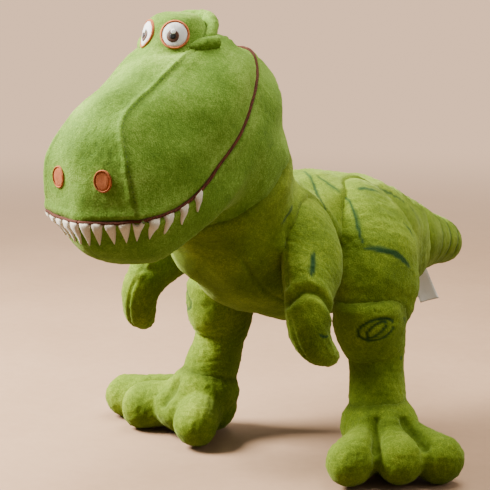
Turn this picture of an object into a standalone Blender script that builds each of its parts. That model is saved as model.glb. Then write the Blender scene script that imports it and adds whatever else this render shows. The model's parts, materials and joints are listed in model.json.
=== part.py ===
"""Stuffed dinosaur: a plush tyrannosaur standing on two splayed feet.

Metres, +Z up. The toy faces -Y, its left side is +X, the feet rest on z = 0.
Every fabric part is a thin skin of sewn panels over a solid stuffing, with a
small clearance between touching solids.
"""
import math

import bpy
import bmesh
import numpy as np
from mathutils import Matrix, Vector
from mathutils.bvhtree import BVHTree

GAP = 0.0003              # clearance between touching solids
CLOTH = 0.0020            # plush fabric, pile included
FILL_INSET = 0.0030       # stuffing surface below the outer surface
MERGE = 0.00005
MIDDLE = np.array((-0.0085, 0.0074, 0.0))   # of the outline below, which becomes the origin

# joints
NECK_PIVOT = np.array((0.0, -0.105, 0.240))
NECK_BALL = 0.0570
NECK_AXIS = np.array((0.0, 0.655, -0.755))
NECK_RIM = 0.0180
TAIL_PIVOT = np.array((0.0, 0.160, 0.147))
TAIL_BALL = 0.0350
TAIL_RIM = 0.0120
SHOULDER = (-0.050, 0.172)      # y, z of the arm axis
HIP = (0.018, 0.152)            # y, z of the leg axis
SIDE = 0.0580                   # greatest half width of the trunk
ARM_SIDE = 0.0470               # plane of the arm seams
LEG_SIDE = 0.0584               # plane of the leg seams

# head guide curves, front of the mouth to the back of the crown
CROWN = ((0, -0.2445, 0.2120), (0, -0.2450, 0.240), (0, -0.2400, 0.270), (0, -0.2220, 0.2895),
         (0, -0.1950, 0.3035), (0, -0.1600, 0.320), (0, -0.1200, 0.331), (0, -0.0820, 0.322))
SEAM = ((0.0410, -0.2325, 0.2145), (0.0385, -0.2365, 0.236), (0.0350, -0.2360, 0.255),
        (0.0245, -0.2260, 0.278), (0.0225, -0.1900, 0.299), (0.0250, -0.1600, 0.317),
        (0.0270, -0.1200, 0.327), (0, -0.0820, 0.322))
CHEEK = ((0.0410, -0.2325, 0.2145), (0.0455, -0.2130, 0.245), (0.0510, -0.1850, 0.267),
         (0.0545, -0.1580, 0.290), (0.0450, -0.1200, 0.313), (0, -0.0820, 0.322))
MOUTH = ((0.0410, -0.2325, 0.2145), (0.0470, -0.2150, 0.2165), (0.0520, -0.1930, 0.2250),
         (0.0565, -0.1700, 0.2430), (0.0572, -0.1420, 0.2680), (0.0510, -0.1180, 0.2960),
         (0.0350, -0.1000, 0.3160), (0, -0.0820, 0.322))
JOWL = ((0.0410, -0.2325, 0.2145), (0.0440, -0.2080, 0.2060), (0.0530, -0.1680, 0.2120),
        (0.0570, -0.1250, 0.2340), (0.0530, -0.0920, 0.2720), (0.0330, -0.0750, 0.3020), (0, -0.0820, 0.322))
CHIN_SIDE = ((0.0210, -0.2410, 0.2130), (0.0290, -0.2130, 0.1880), (0.0340, -0.1750, 0.1840),
             (0.0400, -0.1300, 0.1900), (0.0440, -0.0830, 0.2120), (0.0420, -0.0620, 0.2550),
             (0.0250, -0.0600, 0.2930), (0, -0.0820, 0.322))
CHIN = ((0, -0.2445, 0.2120), (0, -0.2340, 0.1920), (0, -0.2000, 0.1780), (0, -0.1500, 0.1830),
        (0, -0.1000, 0.1850), (0, -0.0600, 0.2100), (0, -0.0490, 0.2500), (0, -0.0560, 0.2920), (0, -0.0820, 0.322))

# trunk stations: y, z, half width, height above, depth below
TRUNK = ((-0.0932, 0.2264, 0.0580, 0.0580, 0.0580), (-0.0830, 0.2110, 0.0500, 0.0530, 0.0560),
         (-0.0700, 0.1950, 0.0462, 0.0490, 0.0570), (-0.0540, 0.1820, 0.0460, 0.0470, 0.0580), (-0.0220, 0.1680, 0.0462, 0.0520, 0.0570),
         (0.0200, 0.1620, 0.0560, 0.0570, 0.0560), (0.0650, 0.1570, 0.0580, 0.0560, 0.0530),
         (0.1050, 0.1520, 0.0550, 0.0510, 0.0460), (0.1480, 0.1475, 0.0400, 0.0390, 0.0370))
# tail stations: y, z, radius
TAIL = ((0.1250, 0.1480, 0.0020), (0.1270, 0.1480, 0.0120), (0.1350, 0.1475, 0.0245), (0.1480, 0.1470, 0.0330),
        (0.1650, 0.1465, 0.0345), (0.1880, 0.1430, 0.0280), (0.2150, 0.1380, 0.0225),
        (0.2400, 0.1330, 0.0190), (0.2550, 0.1310, 0.0130), (0.2610, 0.1300, 0.0020))

# arm stations for the left side: x, y, z, half width across, half width fore and aft
ARM = ((0.0560, -0.0330, 0.1900, 0.0030, 0.0040), (0.0570, -0.0370, 0.1880, 0.0100, 0.0140),
       (0.0590, -0.0440, 0.1800, 0.0150, 0.0225), (0.0610, -0.0560, 0.1660, 0.0175, 0.0255),
       (0.0645, -0.0700, 0.1520, 0.0175, 0.0225), (0.0700, -0.0820, 0.1380, 0.0155, 0.0170),
       (0.0740, -0.0875, 0.1250, 0.0143, 0.0150), (0.0780, -0.0830, 0.1100, 0.0120, 0.0135),
       (0.0815, -0.0710, 0.1010, 0.0075, 0.0085), (0.0830, -0.0620, 0.0980, 0.0015, 0.0018))
# leg stations for the left side: x, y, z, half width across, half width fore and aft
LEG = ((0.0690, 0.0300, 0.1980, 0.0030, 0.0050), (0.0700, 0.0290, 0.1960, 0.0120, 0.0200),
       (0.0710, 0.0240, 0.1850, 0.0200, 0.0330), (0.0725, 0.0150, 0.1660, 0.0255, 0.0385),
       (0.0725, 0.0095, 0.1440, 0.0275, 0.0385), (0.0740, 0.0040, 0.1220, 0.0290, 0.0350),
       (0.0740, 0.0030, 0.1060, 0.0270, 0.0325), (0.0710, 0.0095, 0.0930, 0.0240, 0.0275),
       (0.0745, 0.0060, 0.0760, 0.0205, 0.0225), (0.0800, 0.0010, 0.0500, 0.0210, 0.0235))
ANKLE = (0.0800, 0.0010, 0.0500)
# toes: angle outward from straight ahead, reach from the ankle
TOES = {"left": ((11, 0.076), (47, 0.073), (82, 0.084)), "right": ((-20, 0.074), (62, 0.076), (86, 0.101))}
FOOT_HEEL = 0.030
FOOT_PALM = 0.046
FOOT_TURN = 44.0
TOE_HALF = 0.0170
FOOT_TOP = 0.0490
TOE_TOP = 0.0370

# how the right arm hangs against the left one: turned forward in degrees, set higher
ARM_LIFT = {"left": (0.0, 0.0), "right": (8.0, 0.004)}

EYE_YAW = 35.0
EYE_CENTRE = (0.0130, -0.1600, 0.3300)
EYE_RADIUS = 0.0098
BROW_TOP = 0.3465
NOSTRIL = (0.0185, 0.2400)
NOSTRIL_RADIUS = 0.0072
TEETH_PER_SIDE = 9
TOOTH_THICK = 0.0009
PIPING = 0.0013

GREEN = (0.16, 0.36, 0.06)
PALE = (0.22, 0.45, 0.09)
DARK = (0.11, 0.27, 0.05)
STUFFING = (0.85, 0.85, 0.82)
BROWN = (0.10, 0.03, 0.015)
RUST = (0.55, 0.16, 0.07)
CREAM = (0.85, 0.80, 0.68)
WHITE = (0.90, 0.90, 0.88)

for old in list(bpy.data.objects):
    bpy.data.objects.remove(old)


def material(name, colour, roughness=0.9):
    found = bpy.data.materials.get(name)
    if found:
        return found
    made = bpy.data.materials.new(name)
    made.use_nodes = True
    shader = made.node_tree.nodes["Principled BSDF"]
    shader.inputs["Base Color"].default_value = (*colour, 1.0)
    shader.inputs["Roughness"].default_value = roughness
    return made


def add_mesh(name, verts, faces, mat):
    """One closed body from vertices and faces, welded, outward normals."""
    mesh = bpy.data.meshes.new(name)
    mesh.from_pydata([tuple(float(c) for c in v) for v in verts], [], faces)
    bm = bmesh.new()
    bm.from_mesh(mesh)
    bmesh.ops.remove_doubles(bm, verts=bm.verts, dist=MERGE)
    bmesh.ops.dissolve_degenerate(bm, dist=MERGE, edges=bm.edges)
    bmesh.ops.triangulate(bm, faces=bm.faces)
    bmesh.ops.recalc_face_normals(bm, faces=bm.faces)
    if bm.calc_volume(signed=True) < 0:
        bmesh.ops.reverse_faces(bm, faces=bm.faces)
    bm.to_mesh(mesh)
    bm.free()
    mesh.materials.append(mat)
    obj = bpy.data.objects.new(name, mesh)
    bpy.context.scene.collection.objects.link(obj)
    return obj


def curve(points, params, tight=None):
    """Catmull-Rom curve through the points at the given 0..1 fractions of its length."""
    pts = np.array(points, float)
    if tight is None:
        steps = np.linalg.norm(np.diff(pts[:, :3], axis=0), axis=1)
    else:
        steps = np.ones(len(pts) - 1)
    knots = np.concatenate([[0.0], np.cumsum(steps)])
    knots /= knots[-1]
    slopes = np.zeros_like(pts)
    slopes[1:-1] = (pts[2:] - pts[:-2]) / (knots[2:] - knots[:-2])[:, None]
    slopes[0] = (pts[1] - pts[0]) / (knots[1] - knots[0])
    slopes[-1] = (pts[-1] - pts[-2]) / (knots[-1] - knots[-2])
    params = np.asarray(params, float)
    k = np.clip(np.searchsorted(knots, params, side="right") - 1, 0, len(knots) - 2)
    h = (knots[k + 1] - knots[k])[:, None]
    q = (params[:, None] - knots[k][:, None]) / h
    return ((2 * q**3 - 3 * q**2 + 1) * pts[k] + (q**3 - 2 * q**2 + q) * h * slopes[k]
            + (3 * q**2 - 2 * q**3) * pts[k + 1] + (q**3 - q**2) * h * slopes[k + 1])


class Shell:
    """A closed outer surface whose faces carry the name of the panel they belong to."""

    def __init__(self, verts, faces, labels, outward=None):
        bm = bmesh.new()
        layer = bm.faces.layers.int.new("panel")
        self.names = sorted(set(labels))
        made = [bm.verts.new(tuple(float(c) for c in v)) for v in verts]
        for face, label in zip(faces, labels):
            new = bm.faces.new([made[i] for i in face])
            new[layer] = self.names.index(label)
        bmesh.ops.remove_doubles(bm, verts=bm.verts, dist=MERGE)
        bmesh.ops.recalc_face_normals(bm, faces=bm.faces)
        if bm.calc_volume(signed=True) < 0:
            bmesh.ops.reverse_faces(bm, faces=bm.faces)
        bm.normal_update()
        bm.verts.ensure_lookup_table()
        self.pts = np.array([v.co[:] for v in bm.verts])
        self.nrm = np.array([v.normal[:] for v in bm.verts])
        if outward is not None:
            raw = np.array(verts)
            for k, p in enumerate(self.pts):
                self.nrm[k] = outward[int(np.argmin(((raw - p) ** 2).sum(axis=1)))]
        self.faces = [[v.index for v in f.verts] for f in bm.faces]
        self.owner = [self.names[f[layer]] for f in bm.faces]
        bm.free()

    def tree(self):
        return BVHTree.FromPolygons([tuple(p) for p in self.pts], self.faces)

    def filling(self, name, depth=FILL_INSET, mat=None):
        return add_mesh(name, self.pts - self.nrm * depth, self.faces, mat)

    def panel(self, label, name, mat, thick=CLOTH):
        """The faces of one panel, thickened inwards and held back from its neighbours."""
        faces = [f for f, o in zip(self.faces, self.owner) if o == label]
        edge_use = {}
        for f in faces:
            for a, b in zip(f, f[1:] + f[:1]):
                edge_use.setdefault(frozenset((a, b)), []).append((a, b))
        border = [uses[0] for uses in edge_use.values() if len(uses) == 1]
        inward = {}
        for a, b in border:
            owner = next(f for f in faces if a in f and b in f)
            centre = self.pts[owner].mean(axis=0)
            along = self.pts[b] - self.pts[a]
            away = centre - self.pts[a]
            away = away - along * (away @ along) / max(along @ along, 1e-12)
            away = away / max(np.linalg.norm(away), 1e-9)
            for v in (a, b):
                inward.setdefault(v, []).append(away)
        used = sorted({i for f in faces for i in f})
        index = {v: n for n, v in enumerate(used)}
        outer, inner = [], []
        for v in used:
            shift = np.zeros(3)
            if v in inward:
                shift = np.mean(inward[v], axis=0)
                shift = shift / max(np.linalg.norm(shift), 0.4) * GAP * 0.6
            outer.append(self.pts[v] + shift)
            inner.append(self.pts[v] + shift - self.nrm[v] * thick)
        n = len(used)
        out = [[index[v] for v in f] for f in faces]
        out += [[index[v] + n for v in reversed(f)] for f in faces]
        out += [[index[a] + n, index[b] + n, index[b], index[a]] for a, b in border]
        return add_mesh(name, outer + inner, out, mat)


def grid_shell(rings, label_of, cap_start=None, cap_end=None, radial=False):
    """Rings of equal length joined in order; a cap closes an end that is not a point.

    A radial shell takes its thickness towards the centre of each ring.
    """
    n = len(rings[0])
    verts = [p for ring in rings for p in ring]
    faces, labels = [], []
    for i in range(len(rings) - 1):
        for j in range(n):
            faces.append((i * n + j, i * n + (j + 1) % n, (i + 1) * n + (j + 1) % n, (i + 1) * n + j))
            labels.append(label_of(i, j))
    for start, name in ((0, cap_start), ((len(rings) - 1) * n, cap_end)):
        if name is None:
            continue
        centre = len(verts)
        verts.append(np.mean(verts[start:start + n], axis=0))
        for j in range(n):
            faces.append((centre, start + j, start + (j + 1) % n))
            labels.append(name)
    outward = None
    if radial:
        outward = []
        for ring in rings:
            middle = np.mean(ring, axis=0)
            outward += [(p - middle) / max(np.linalg.norm(p - middle), 0.0045) for p in ring]
        for near, name in ((0, cap_start), (len(rings) - 1, cap_end)):
            if name is not None:
                along = np.mean(rings[near], axis=0) - np.mean(rings[1 if near == 0 else near - 1], axis=0)
                outward.append(along / np.linalg.norm(along) * 0.4)
    return Shell(verts, faces, labels, outward)


def core(rings, name, mat, depth=FILL_INSET):
    """The stuffing of a tube: every ring drawn in, the narrow ends left out."""
    kept = []
    for ring in rings:
        centre = np.mean(ring, axis=0)
        radius = np.mean([np.linalg.norm(p - centre) for p in ring])
        if radius > 2.6 * depth:
            kept.append([centre + (p - centre) * (1 - 1.35 * depth / np.linalg.norm(p - centre)) for p in ring])
    shell = grid_shell(kept, lambda i, j: "core", "core", "core")
    add_mesh(name, shell.pts, shell.faces, mat)


def flat_side(points, limit, keep):
    """Hold every point on one side of the plane |x| = limit."""
    out = []
    for p in points:
        size = max(abs(p[0]), limit) if keep == "outside" else min(abs(p[0]), limit)
        out.append(np.array((math.copysign(size, p[0]), p[1], p[2])))
    return out


# ---------------------------------------------------------------- head
def head_shell(rungs, top, side, low):
    """Sections running crown - seam - cheek - mouth - jowl - chin, swept front to back."""
    u = np.linspace(0.0, 1.0, rungs + 1)
    guides = [curve(g, u) for g in (CROWN, SEAM, CHEEK, MOUTH, JOWL, CHIN_SIDE, CHIN)]
    flip = np.array((-1.0, 1.0, 1.0))
    rings = []
    for i in range(rungs + 1):
        crown, seam, cheek, mouth, jowl, chin_side, chin = [g[i] for g in guides]
        upper = curve((seam * flip, crown, seam), np.linspace(0.5, 1.0, top + 1), True)
        middle = curve((seam, cheek, mouth), np.linspace(0.0, 1.0, side + 1), True)
        if i == 0:
            lower = upper[::-1]
        else:
            low_pts = (mouth, jowl, chin_side, chin, chin_side * flip)
            lower = curve(low_pts, np.linspace(0.0, 0.75, low + 1), True)
        half = np.concatenate([upper, middle[1:], lower[1:]])
        if i:
            half = np.array([into_socket(p) for p in half])
        ring = list(half) + list((half * flip)[-2:0:-1])
        rings.append(ring)
    count = len(rings[0])
    half_len = top + side + low

    def label(i, j):
        k = j if j < half_len else count - 1 - j
        name = "left" if j < half_len else "right"
        if i >= rungs - 2 or k >= top + side:
            return "jaw_" + name
        if k < top:
            return "top"
        return "cheek_" + name

    shell = grid_shell(rings, label)
    front = [rings[0][j] for j in range(top)]
    corner_back = [rings[i][top + side] for i in range(rungs - 1)]
    shell.mouth = np.array(front + corner_back)
    return shell


def into_socket(point):
    """Round the back of the head so that it turns inside the neck socket."""
    rel = np.array(point) - NECK_PIVOT
    dist = np.linalg.norm(rel)
    depth = rel @ NECK_AXIS
    if dist > NECK_BALL:
        weight = np.clip((depth + 0.018) / 0.020, 0.0, 1.0)
        rel = rel * (1 - weight + weight * NECK_BALL / dist)
    return NECK_PIVOT + rel


def head_parts(mats):
    shell = head_shell(18, 4, 3, 4)
    shell.panel("top", "head_top_panel", mats["pale"])
    for side in ("left", "right"):
        shell.panel("cheek_" + side, "cheek_" + side, mats["green"])
        shell.panel("jaw_" + side, "jaw_" + side, mats["green"])
    shell.filling("head_filling", mat=mats["stuffing"])
    return shell


def on_surface(tree, origin, direction):
    hit = tree.ray_cast(Vector(origin), Vector(direction))
    return np.array(hit[0]), np.array(hit[1])


def sweep(path, normals, half_width, height, name, mat, lift=0.0006):
    """A low cord lying along a path, its flat side facing the surface below."""
    rings = []
    for i, (p, n) in enumerate(zip(path, normals)):
        ahead = path[min(i + 1, len(path) - 1)] - path[max(i - 1, 0)]
        ahead = ahead / np.linalg.norm(ahead)
        across = np.cross(ahead, n)
        across = across / np.linalg.norm(across)
        base = p + n * lift
        rings.append([base - across * half_width, base + across * half_width,
                      base + across * half_width * 0.6 + n * height,
                      base - across * half_width * 0.6 + n * height])
    verts = [v for ring in rings for v in ring]
    faces = [(3, 2, 1, 0), tuple(len(verts) - 4 + k for k in range(4))]
    for i in range(len(rings) - 1):
        for j in range(4):
            faces.append((i * 4 + j, i * 4 + (j + 1) % 4, i * 4 + 4 + (j + 1) % 4, i * 4 + 4 + j))
    return add_mesh(name, verts, faces, mat)


def disc(name, centre, normal, radius, inner, thick, mat, count=20):
    """A flat round patch, or a ring when it has an inner radius."""
    normal = np.array(normal) / np.linalg.norm(normal)
    side = np.cross((0.0, 0.0, 1.0), normal)
    side = side / np.linalg.norm(side)
    up = np.cross(normal, side)
    centre = np.array(centre)
    rings = []
    for r, h in ((radius, 0.0), (radius, thick), (inner, thick), (inner, 0.0)):
        rings.append([centre + normal * h + (side * math.cos(a) + up * math.sin(a)) * r
                      for a in np.linspace(0, 2 * math.pi, count, endpoint=False)])
    verts = [v for ring in rings for v in ring]
    faces = []
    for i in (0, 1, 2, 3) if inner > 0 else (0, 1, 3):
        k = (i + 1) % 4
        for j in range(count):
            a, b = i * count + j, i * count + (j + 1) % count
            c, d = k * count + (j + 1) % count, k * count + j
            faces.append((a, b, c, d))
    return add_mesh(name, verts, faces, mat)


def face_details(shell, mats):
    tree = shell.tree()
    for sign, side in ((1, "left"), (-1, "right")):
        path = [p * np.array((sign, 1.0, 1.0)) for p in shell.mouth]
        path[0] = path[0] * 0.98 + path[1] * 0.02
        normals = []
        for p in path:
            near = int(np.argmin(((shell.pts - p) ** 2).sum(axis=1)))
            normals.append(shell.nrm[near])
        sweep(path, normals, PIPING, 0.0012, "mouth_piping_" + side, mats["brown"])
        teeth(tree, path, normals, sign, side, mats["cream"])
        eye_parts(tree, sign, side, mats)
        nose, n = on_surface(tree, (sign * NOSTRIL[0], -0.35, NOSTRIL[1]), (0, 1, 0))
        n = np.array((sign * 0.16, -0.98, 0.05))
        disc("nostril_" + side, nose + n * 0.0016, n, NOSTRIL_RADIUS, 0.0, 0.0009, mats["rust"])


def teeth(tree, path, normals, sign, side, mat):
    """A strip of pointed felt teeth lying on the jaw just below the mouth piping."""
    path, normals = np.array(path), np.array(normals)
    steps = np.concatenate([[0.0], np.cumsum(np.linalg.norm(np.diff(path, axis=0), axis=1))])
    pitch = 0.0098
    verts, faces = [], []
    samples = TEETH_PER_SIDE * 2 + 1
    for k in range(samples):
        at = 0.0015 + k * pitch / 2
        p = np.array([np.interp(at, steps, path[:, c]) for c in range(3)])
        n = np.array([np.interp(at, steps, normals[:, c]) for c in range(3)])
        out = np.array((n[0], n[1], 0.0))
        out = out / np.linalg.norm(out)
        edge = []
        for drop in (0.0030, 0.0045 if k % 2 == 0 else 0.0165):
            spot, slope = on_surface(tree, p + out * 0.030 - np.array((0, 0, drop)), -out)
            edge.append(spot + slope * 0.0014 + out * 0.0008)
        high, low = edge
        verts += [high, low, low + out * TOOTH_THICK, high + out * TOOTH_THICK]
    for k in range(samples - 1):
        for j in range(4):
            faces.append((k * 4 + j, k * 4 + (j + 1) % 4, k * 4 + 4 + (j + 1) % 4, k * 4 + 4 + j))
    faces += [(3, 2, 1, 0), tuple(len(verts) - 4 + j for j in range(4))]
    return add_mesh("teeth_" + side, verts, faces, mat)


def eye_parts(tree, sign, side, mats):
    yaw = math.radians(EYE_YAW)
    look = np.array((sign * math.sin(yaw), -math.cos(yaw), 0.0))
    centre = np.array((sign * EYE_CENTRE[0], EYE_CENTRE[1], EYE_CENTRE[2]))
    disc("eye_white_" + side, centre, look, EYE_RADIUS * 0.86, 0.0, 0.0008, mats["white"])
    disc("eye_rim_" + side, centre, look, EYE_RADIUS, EYE_RADIUS * 0.86 + GAP, 0.0012, mats["rust"])
    disc("iris_" + side, centre + look * (0.0008 + GAP), look, 0.0044, 0.0, 0.0005, mats["brown"], 16)
    # the padded lump behind the eye, its underside following the head
    middle = np.array((sign * 0.0152, -0.1410, 0.0))
    verts, faces = [], []
    count, bands = 16, 4
    for r in range(1, bands + 1):
        for k in range(count):
            a = 2 * math.pi * k / count
            f = math.sin(r / bands * math.pi / 2) * 0.97
            x = middle[0] + 0.0148 * f * math.cos(a)
            y = middle[1] + 0.0185 * f * math.sin(a)
            floor, _ = on_surface(tree, (x, y, 0.45), (0, 0, -1))
            crest = BROW_TOP - (BROW_TOP - 0.320) * (1 - math.sqrt(max(0.0, 1 - f * f)))
            plane = (np.array((x, y)) - centre[:2]) @ look[:2]
            if plane > -0.0008:
                shift = (plane + 0.0008)
                x, y = x - look[0] * shift, y - look[1] * shift
                floor, _ = on_surface(tree, (x, y, 0.45), (0, 0, -1))
            verts.append((x, y, floor[2] + 0.0012))
            verts.append((x, y, max(crest, floor[2] + 0.0022)))
    low_mid, _ = on_surface(tree, (middle[0], middle[1], 0.45), (0, 0, -1))
    verts += [(middle[0], middle[1], low_mid[2] + 0.0012), (middle[0], middle[1], BROW_TOP + 0.0005)]
    last = len(verts)
    for r in range(bands - 1):
        for k in range(count):
            a, b = (r * count + k) * 2, (r * count + (k + 1) % count) * 2
            c, d = a + count * 2, b + count * 2
            faces.append((a, b, d, c))
            faces.append((a + 1, c + 1, d + 1, b + 1))
    for k in range(count):
        a, b = k * 2, (k + 1) % count * 2
        faces.append((last - 2, b, a))
        faces.append((last - 1, a + 1, b + 1))
        c, d = a + (bands - 1) * count * 2, b + (bands - 1) * count * 2
        faces.append((c, d, d + 1, c + 1))
    add_mesh("brow_" + side, verts, faces, mats["pale"])


# ---------------------------------------------------------------- trunk and tail
def sagittal_rings(rows, count, around, above=2.0, below=2.0):
    """Sections set square to a line drawn in the middle plane."""
    rows = np.array([(0.0, r[0], r[1], r[2], r[3], r[4]) for r in rows])
    s = curve(rows, np.linspace(0, 1, count))
    t = np.gradient(s[:, 1:3], axis=0)
    t = t / np.linalg.norm(t, axis=1)[:, None]
    rings = []
    for row, (ty, tz) in zip(s, t):
        ring = []
        for a in np.linspace(0, 2 * math.pi, around, endpoint=False):
            c, d = math.cos(a), math.sin(a)
            power = 2 / (above if d >= 0 else below)
            x = row[3] * math.copysign(abs(c) ** power, c)
            h = (row[4] if d >= 0 else row[5]) * math.copysign(abs(d) ** power, d)
            ring.append(np.array((x, row[1] - h * tz, row[2] + h * ty)))
        rings.append(ring)
    return rings


def bowl(ring, pivot, ball, axis, steps):
    """Rings that fall from an end ring into a ball-shaped hollow around the pivot."""
    rings = []
    edge = [np.array(p) - pivot for p in ring]
    for k in range(1, steps + 1):
        ring_out = []
        for e in edge:
            radial = e - axis * (e @ axis)
            radial = radial / np.linalg.norm(radial)
            start = math.acos(min(1.0, abs(e @ axis) / ball))
            angle = start * (1 - k / (steps + 0.35))
            ring_out.append(pivot + ball * (axis * math.cos(angle) + radial * math.sin(angle)))
        rings.append(ring_out)
    return rings


def trunk_shell():
    around = 20
    rings = sagittal_rings(TRUNK, 15, around, 2.1, 2.4)
    neck_ring = []
    for a in np.linspace(0, 2 * math.pi, around, endpoint=False):
        up = np.array((0.0, 0.755, 0.655))
        r = 0.0590
        neck_ring.append(NECK_PIVOT + NECK_AXIS * NECK_RIM
                         + np.array((r * math.cos(a), 0, 0)) + up * r * math.sin(a))
    rings[0] = neck_ring
    hollow = NECK_BALL + 0.0006
    front = bowl(rings[0], NECK_PIVOT, hollow, NECK_AXIS, 4)
    lip = [NECK_PIVOT + NECK_AXIS * NECK_RIM + (np.array(p) - NECK_PIVOT - NECK_AXIS * NECK_RIM)
           * math.sqrt(hollow**2 - NECK_RIM**2) / 0.0590 for p in neck_ring]
    back_axis = np.array((0.0, -1.0, 0.0))
    tail_hollow = TAIL_BALL + 0.0006
    centre = TAIL_PIVOT + back_axis * TAIL_RIM
    end = rings[-1] = [np.array((p[0], centre[1], p[2])) for p in rings[-1]]
    lip_radius = math.sqrt(tail_hollow**2 - TAIL_RIM**2)
    tail_lip = []
    for p in end:
        radial = np.array(p) - centre
        tail_lip.append(centre + radial / np.linalg.norm(radial) * lip_radius)
    back = bowl(tail_lip, TAIL_PIVOT, tail_hollow, back_axis, 3)
    rings = [flat_side(r, SIDE, "inside") for r in rings]
    full = front[::-1] + [lip] + rings + [tail_lip] + back
    first = len(front) + 1
    last = first + len(rings) - 1

    def label(i, j):
        if i < first - 1 or i > last:
            return "socket"
        angle = (j + 0.5) / around * 360
        if 230 < angle < 310:
            return "belly"
        return "side_left" if (angle < 90 or angle > 270) else "side_right"

    return grid_shell(full, label, "socket", "socket")


def trunk_parts(mats):
    shell = trunk_shell()
    shell.panel("side_left", "trunk_side_left", mats["green"])
    shell.panel("side_right", "trunk_side_right", mats["green"])
    shell.panel("belly", "belly_panel", mats["dark"])
    deep = shell.pts - shell.nrm * FILL_INSET
    for i in range(len(deep)):
        for pivot, ball in ((NECK_PIVOT, NECK_BALL), (TAIL_PIVOT, TAIL_BALL)):
            rel = deep[i] - pivot
            dist = np.linalg.norm(rel)
            if dist < ball + 0.0006:
                deep[i] = pivot + rel * (ball + 0.0006) / dist
    add_mesh("trunk_filling", deep, shell.faces, mats["stuffing"])
    return shell


def tail_parts(mats):
    rings = sagittal_rings([(y, z, r, r, r) for y, z, r in TAIL], 13, 12)
    fixed = []
    for ring in rings:
        out = []
        for p in ring:
            rel = np.array(p) - TAIL_PIVOT
            dist = np.linalg.norm(rel)
            if rel[1] < 0 and dist > TAIL_BALL:
                rel = rel * TAIL_BALL / dist
            out.append(TAIL_PIVOT + rel)
        fixed.append(out)

    def label(i, j):
        angle = (j + 0.5) / 12 * 360
        if 230 < angle < 310:
            return "under"
        return "left" if (angle < 90 or angle > 270) else "right"

    shell = grid_shell(fixed, label, "left", "left", radial=True)
    shell.panel("left", "tail_left", mats["green"])
    shell.panel("right", "tail_right", mats["green"])
    shell.panel("under", "tail_underside", mats["dark"])
    core(fixed, "tail_filling", mats["stuffing"])


# ---------------------------------------------------------------- limbs
def limb_rings(rows, count, around, sign, plane, free_below):
    """Padded tube hanging beside the trunk, from its rounded top to its end.

    Above free_below its inner side is flat, on the plane it is sewn on.
    """
    s = curve(rows, np.linspace(0, 1, count))
    t = np.gradient(s[:, :3], axis=0)
    t = t / np.linalg.norm(t, axis=1)[:, None]
    aft = np.array((0.0, 1.0, 0.0))
    rings = []
    for row, tangent in zip(s, t):
        aft = aft - tangent * (aft @ tangent)
        aft = aft / np.linalg.norm(aft)
        out = np.cross(tangent, aft)
        ring = []
        for a in np.linspace(0, 2 * math.pi, around, endpoint=False):
            p = row[:3] + out * row[3] * math.cos(a) + aft * row[4] * math.sin(a)
            slack = np.clip((free_below - p[2]) / 0.020, 0.0, 1.0) * 0.030
            p[0] = max(p[0], plane - slack)
            ring.append(np.array((sign * p[0], p[1], p[2])))
        rings.append(ring)
    return rings


def arm_parts(sign, side, mats):
    around = 12
    rings = limb_rings(ARM, 13, around, sign, ARM_SIDE, 0.0)
    turn, rise = ARM_LIFT[side]
    c, d = math.cos(math.radians(turn)), math.sin(math.radians(turn))
    for ring in rings:
        for p in ring:
            y, z = p[1] - SHOULDER[0], p[2] - SHOULDER[1]
            p[1], p[2] = SHOULDER[0] + y * c + z * d, SHOULDER[1] - y * d + z * c + rise

    def label(i, j):
        return "outer" if j < around // 4 or j >= around * 3 // 4 else "inner"

    shell = grid_shell(rings, label, "root", "outer", radial=True)
    shell.panel("outer", "arm_outer_" + side, mats["green"])
    shell.panel("inner", "arm_inner_" + side, mats["dark"])
    core(rings, "arm_filling_" + side, mats["stuffing"])


def leg_parts(sign, side, mats):
    around = 12
    rings = limb_rings(LEG, 13, around, sign, LEG_SIDE, 0.098)
    for ring in rings:
        for p in ring:
            p[2] = max(p[2], ANKLE[2])

    def label(i, j):
        return "outer" if j < around // 4 or j >= around * 3 // 4 else "inner"

    shell = grid_shell(rings, label, "root", "ankle", radial=True)
    shell.panel("outer", "leg_outer_" + side, mats["green"])
    shell.panel("inner", "leg_inner_" + side, mats["dark"])
    core(rings, "leg_filling_" + side, mats["stuffing"])


def foot_outline(angle, toes):
    """Distance from the ankle to the edge of the foot in a direction."""
    best = FOOT_HEEL
    for toe, length in toes:
        off = math.radians(angle - toe)
        core = length - TOE_HALF
        across = core * math.sin(off)
        if math.cos(off) > 0 and abs(across) < TOE_HALF:
            best = max(best, core * math.cos(off) + math.sqrt(TOE_HALF**2 - across**2))
    palm = FOOT_PALM * max(0.0, math.cos(math.radians(angle - FOOT_TURN))) ** 0.5
    return max(best, palm)


def foot_parts(sign, side, mats):
    around = 36
    rings = []
    profile = ((0.60, 0.0), (0.84, 0.0), (0.98, 0.20), (1.0, 0.48), (0.90, 0.82), (0.74, 1.0))
    for scale, height in profile:
        ring = []
        for k in range(around):
            off = 360.0 * k / around
            r = foot_outline((off + 180.0) % 360.0 - 180.0, TOES[side]) * scale
            a = math.radians(off)
            top = FOOT_TOP + (TOE_TOP - FOOT_TOP) * min(1.0, r / 0.060)
            z = min(height * top, ANKLE[2] - 2 * GAP)
            ring.append(np.array((sign * (ANKLE[0] + r * math.sin(a)), ANKLE[1] - r * math.cos(a), z)))
        rings.append(ring)

    def label(i, j):
        return "sole" if i < 1 else "upper"

    shell = grid_shell(rings, label, "sole", "upper")
    shell.panel("upper", "foot_upper_" + side, mats["pale"])
    shell.panel("sole", "foot_sole_" + side, mats["green"])
    shell.filling("foot_filling_" + side, mat=mats["stuffing"])


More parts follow.
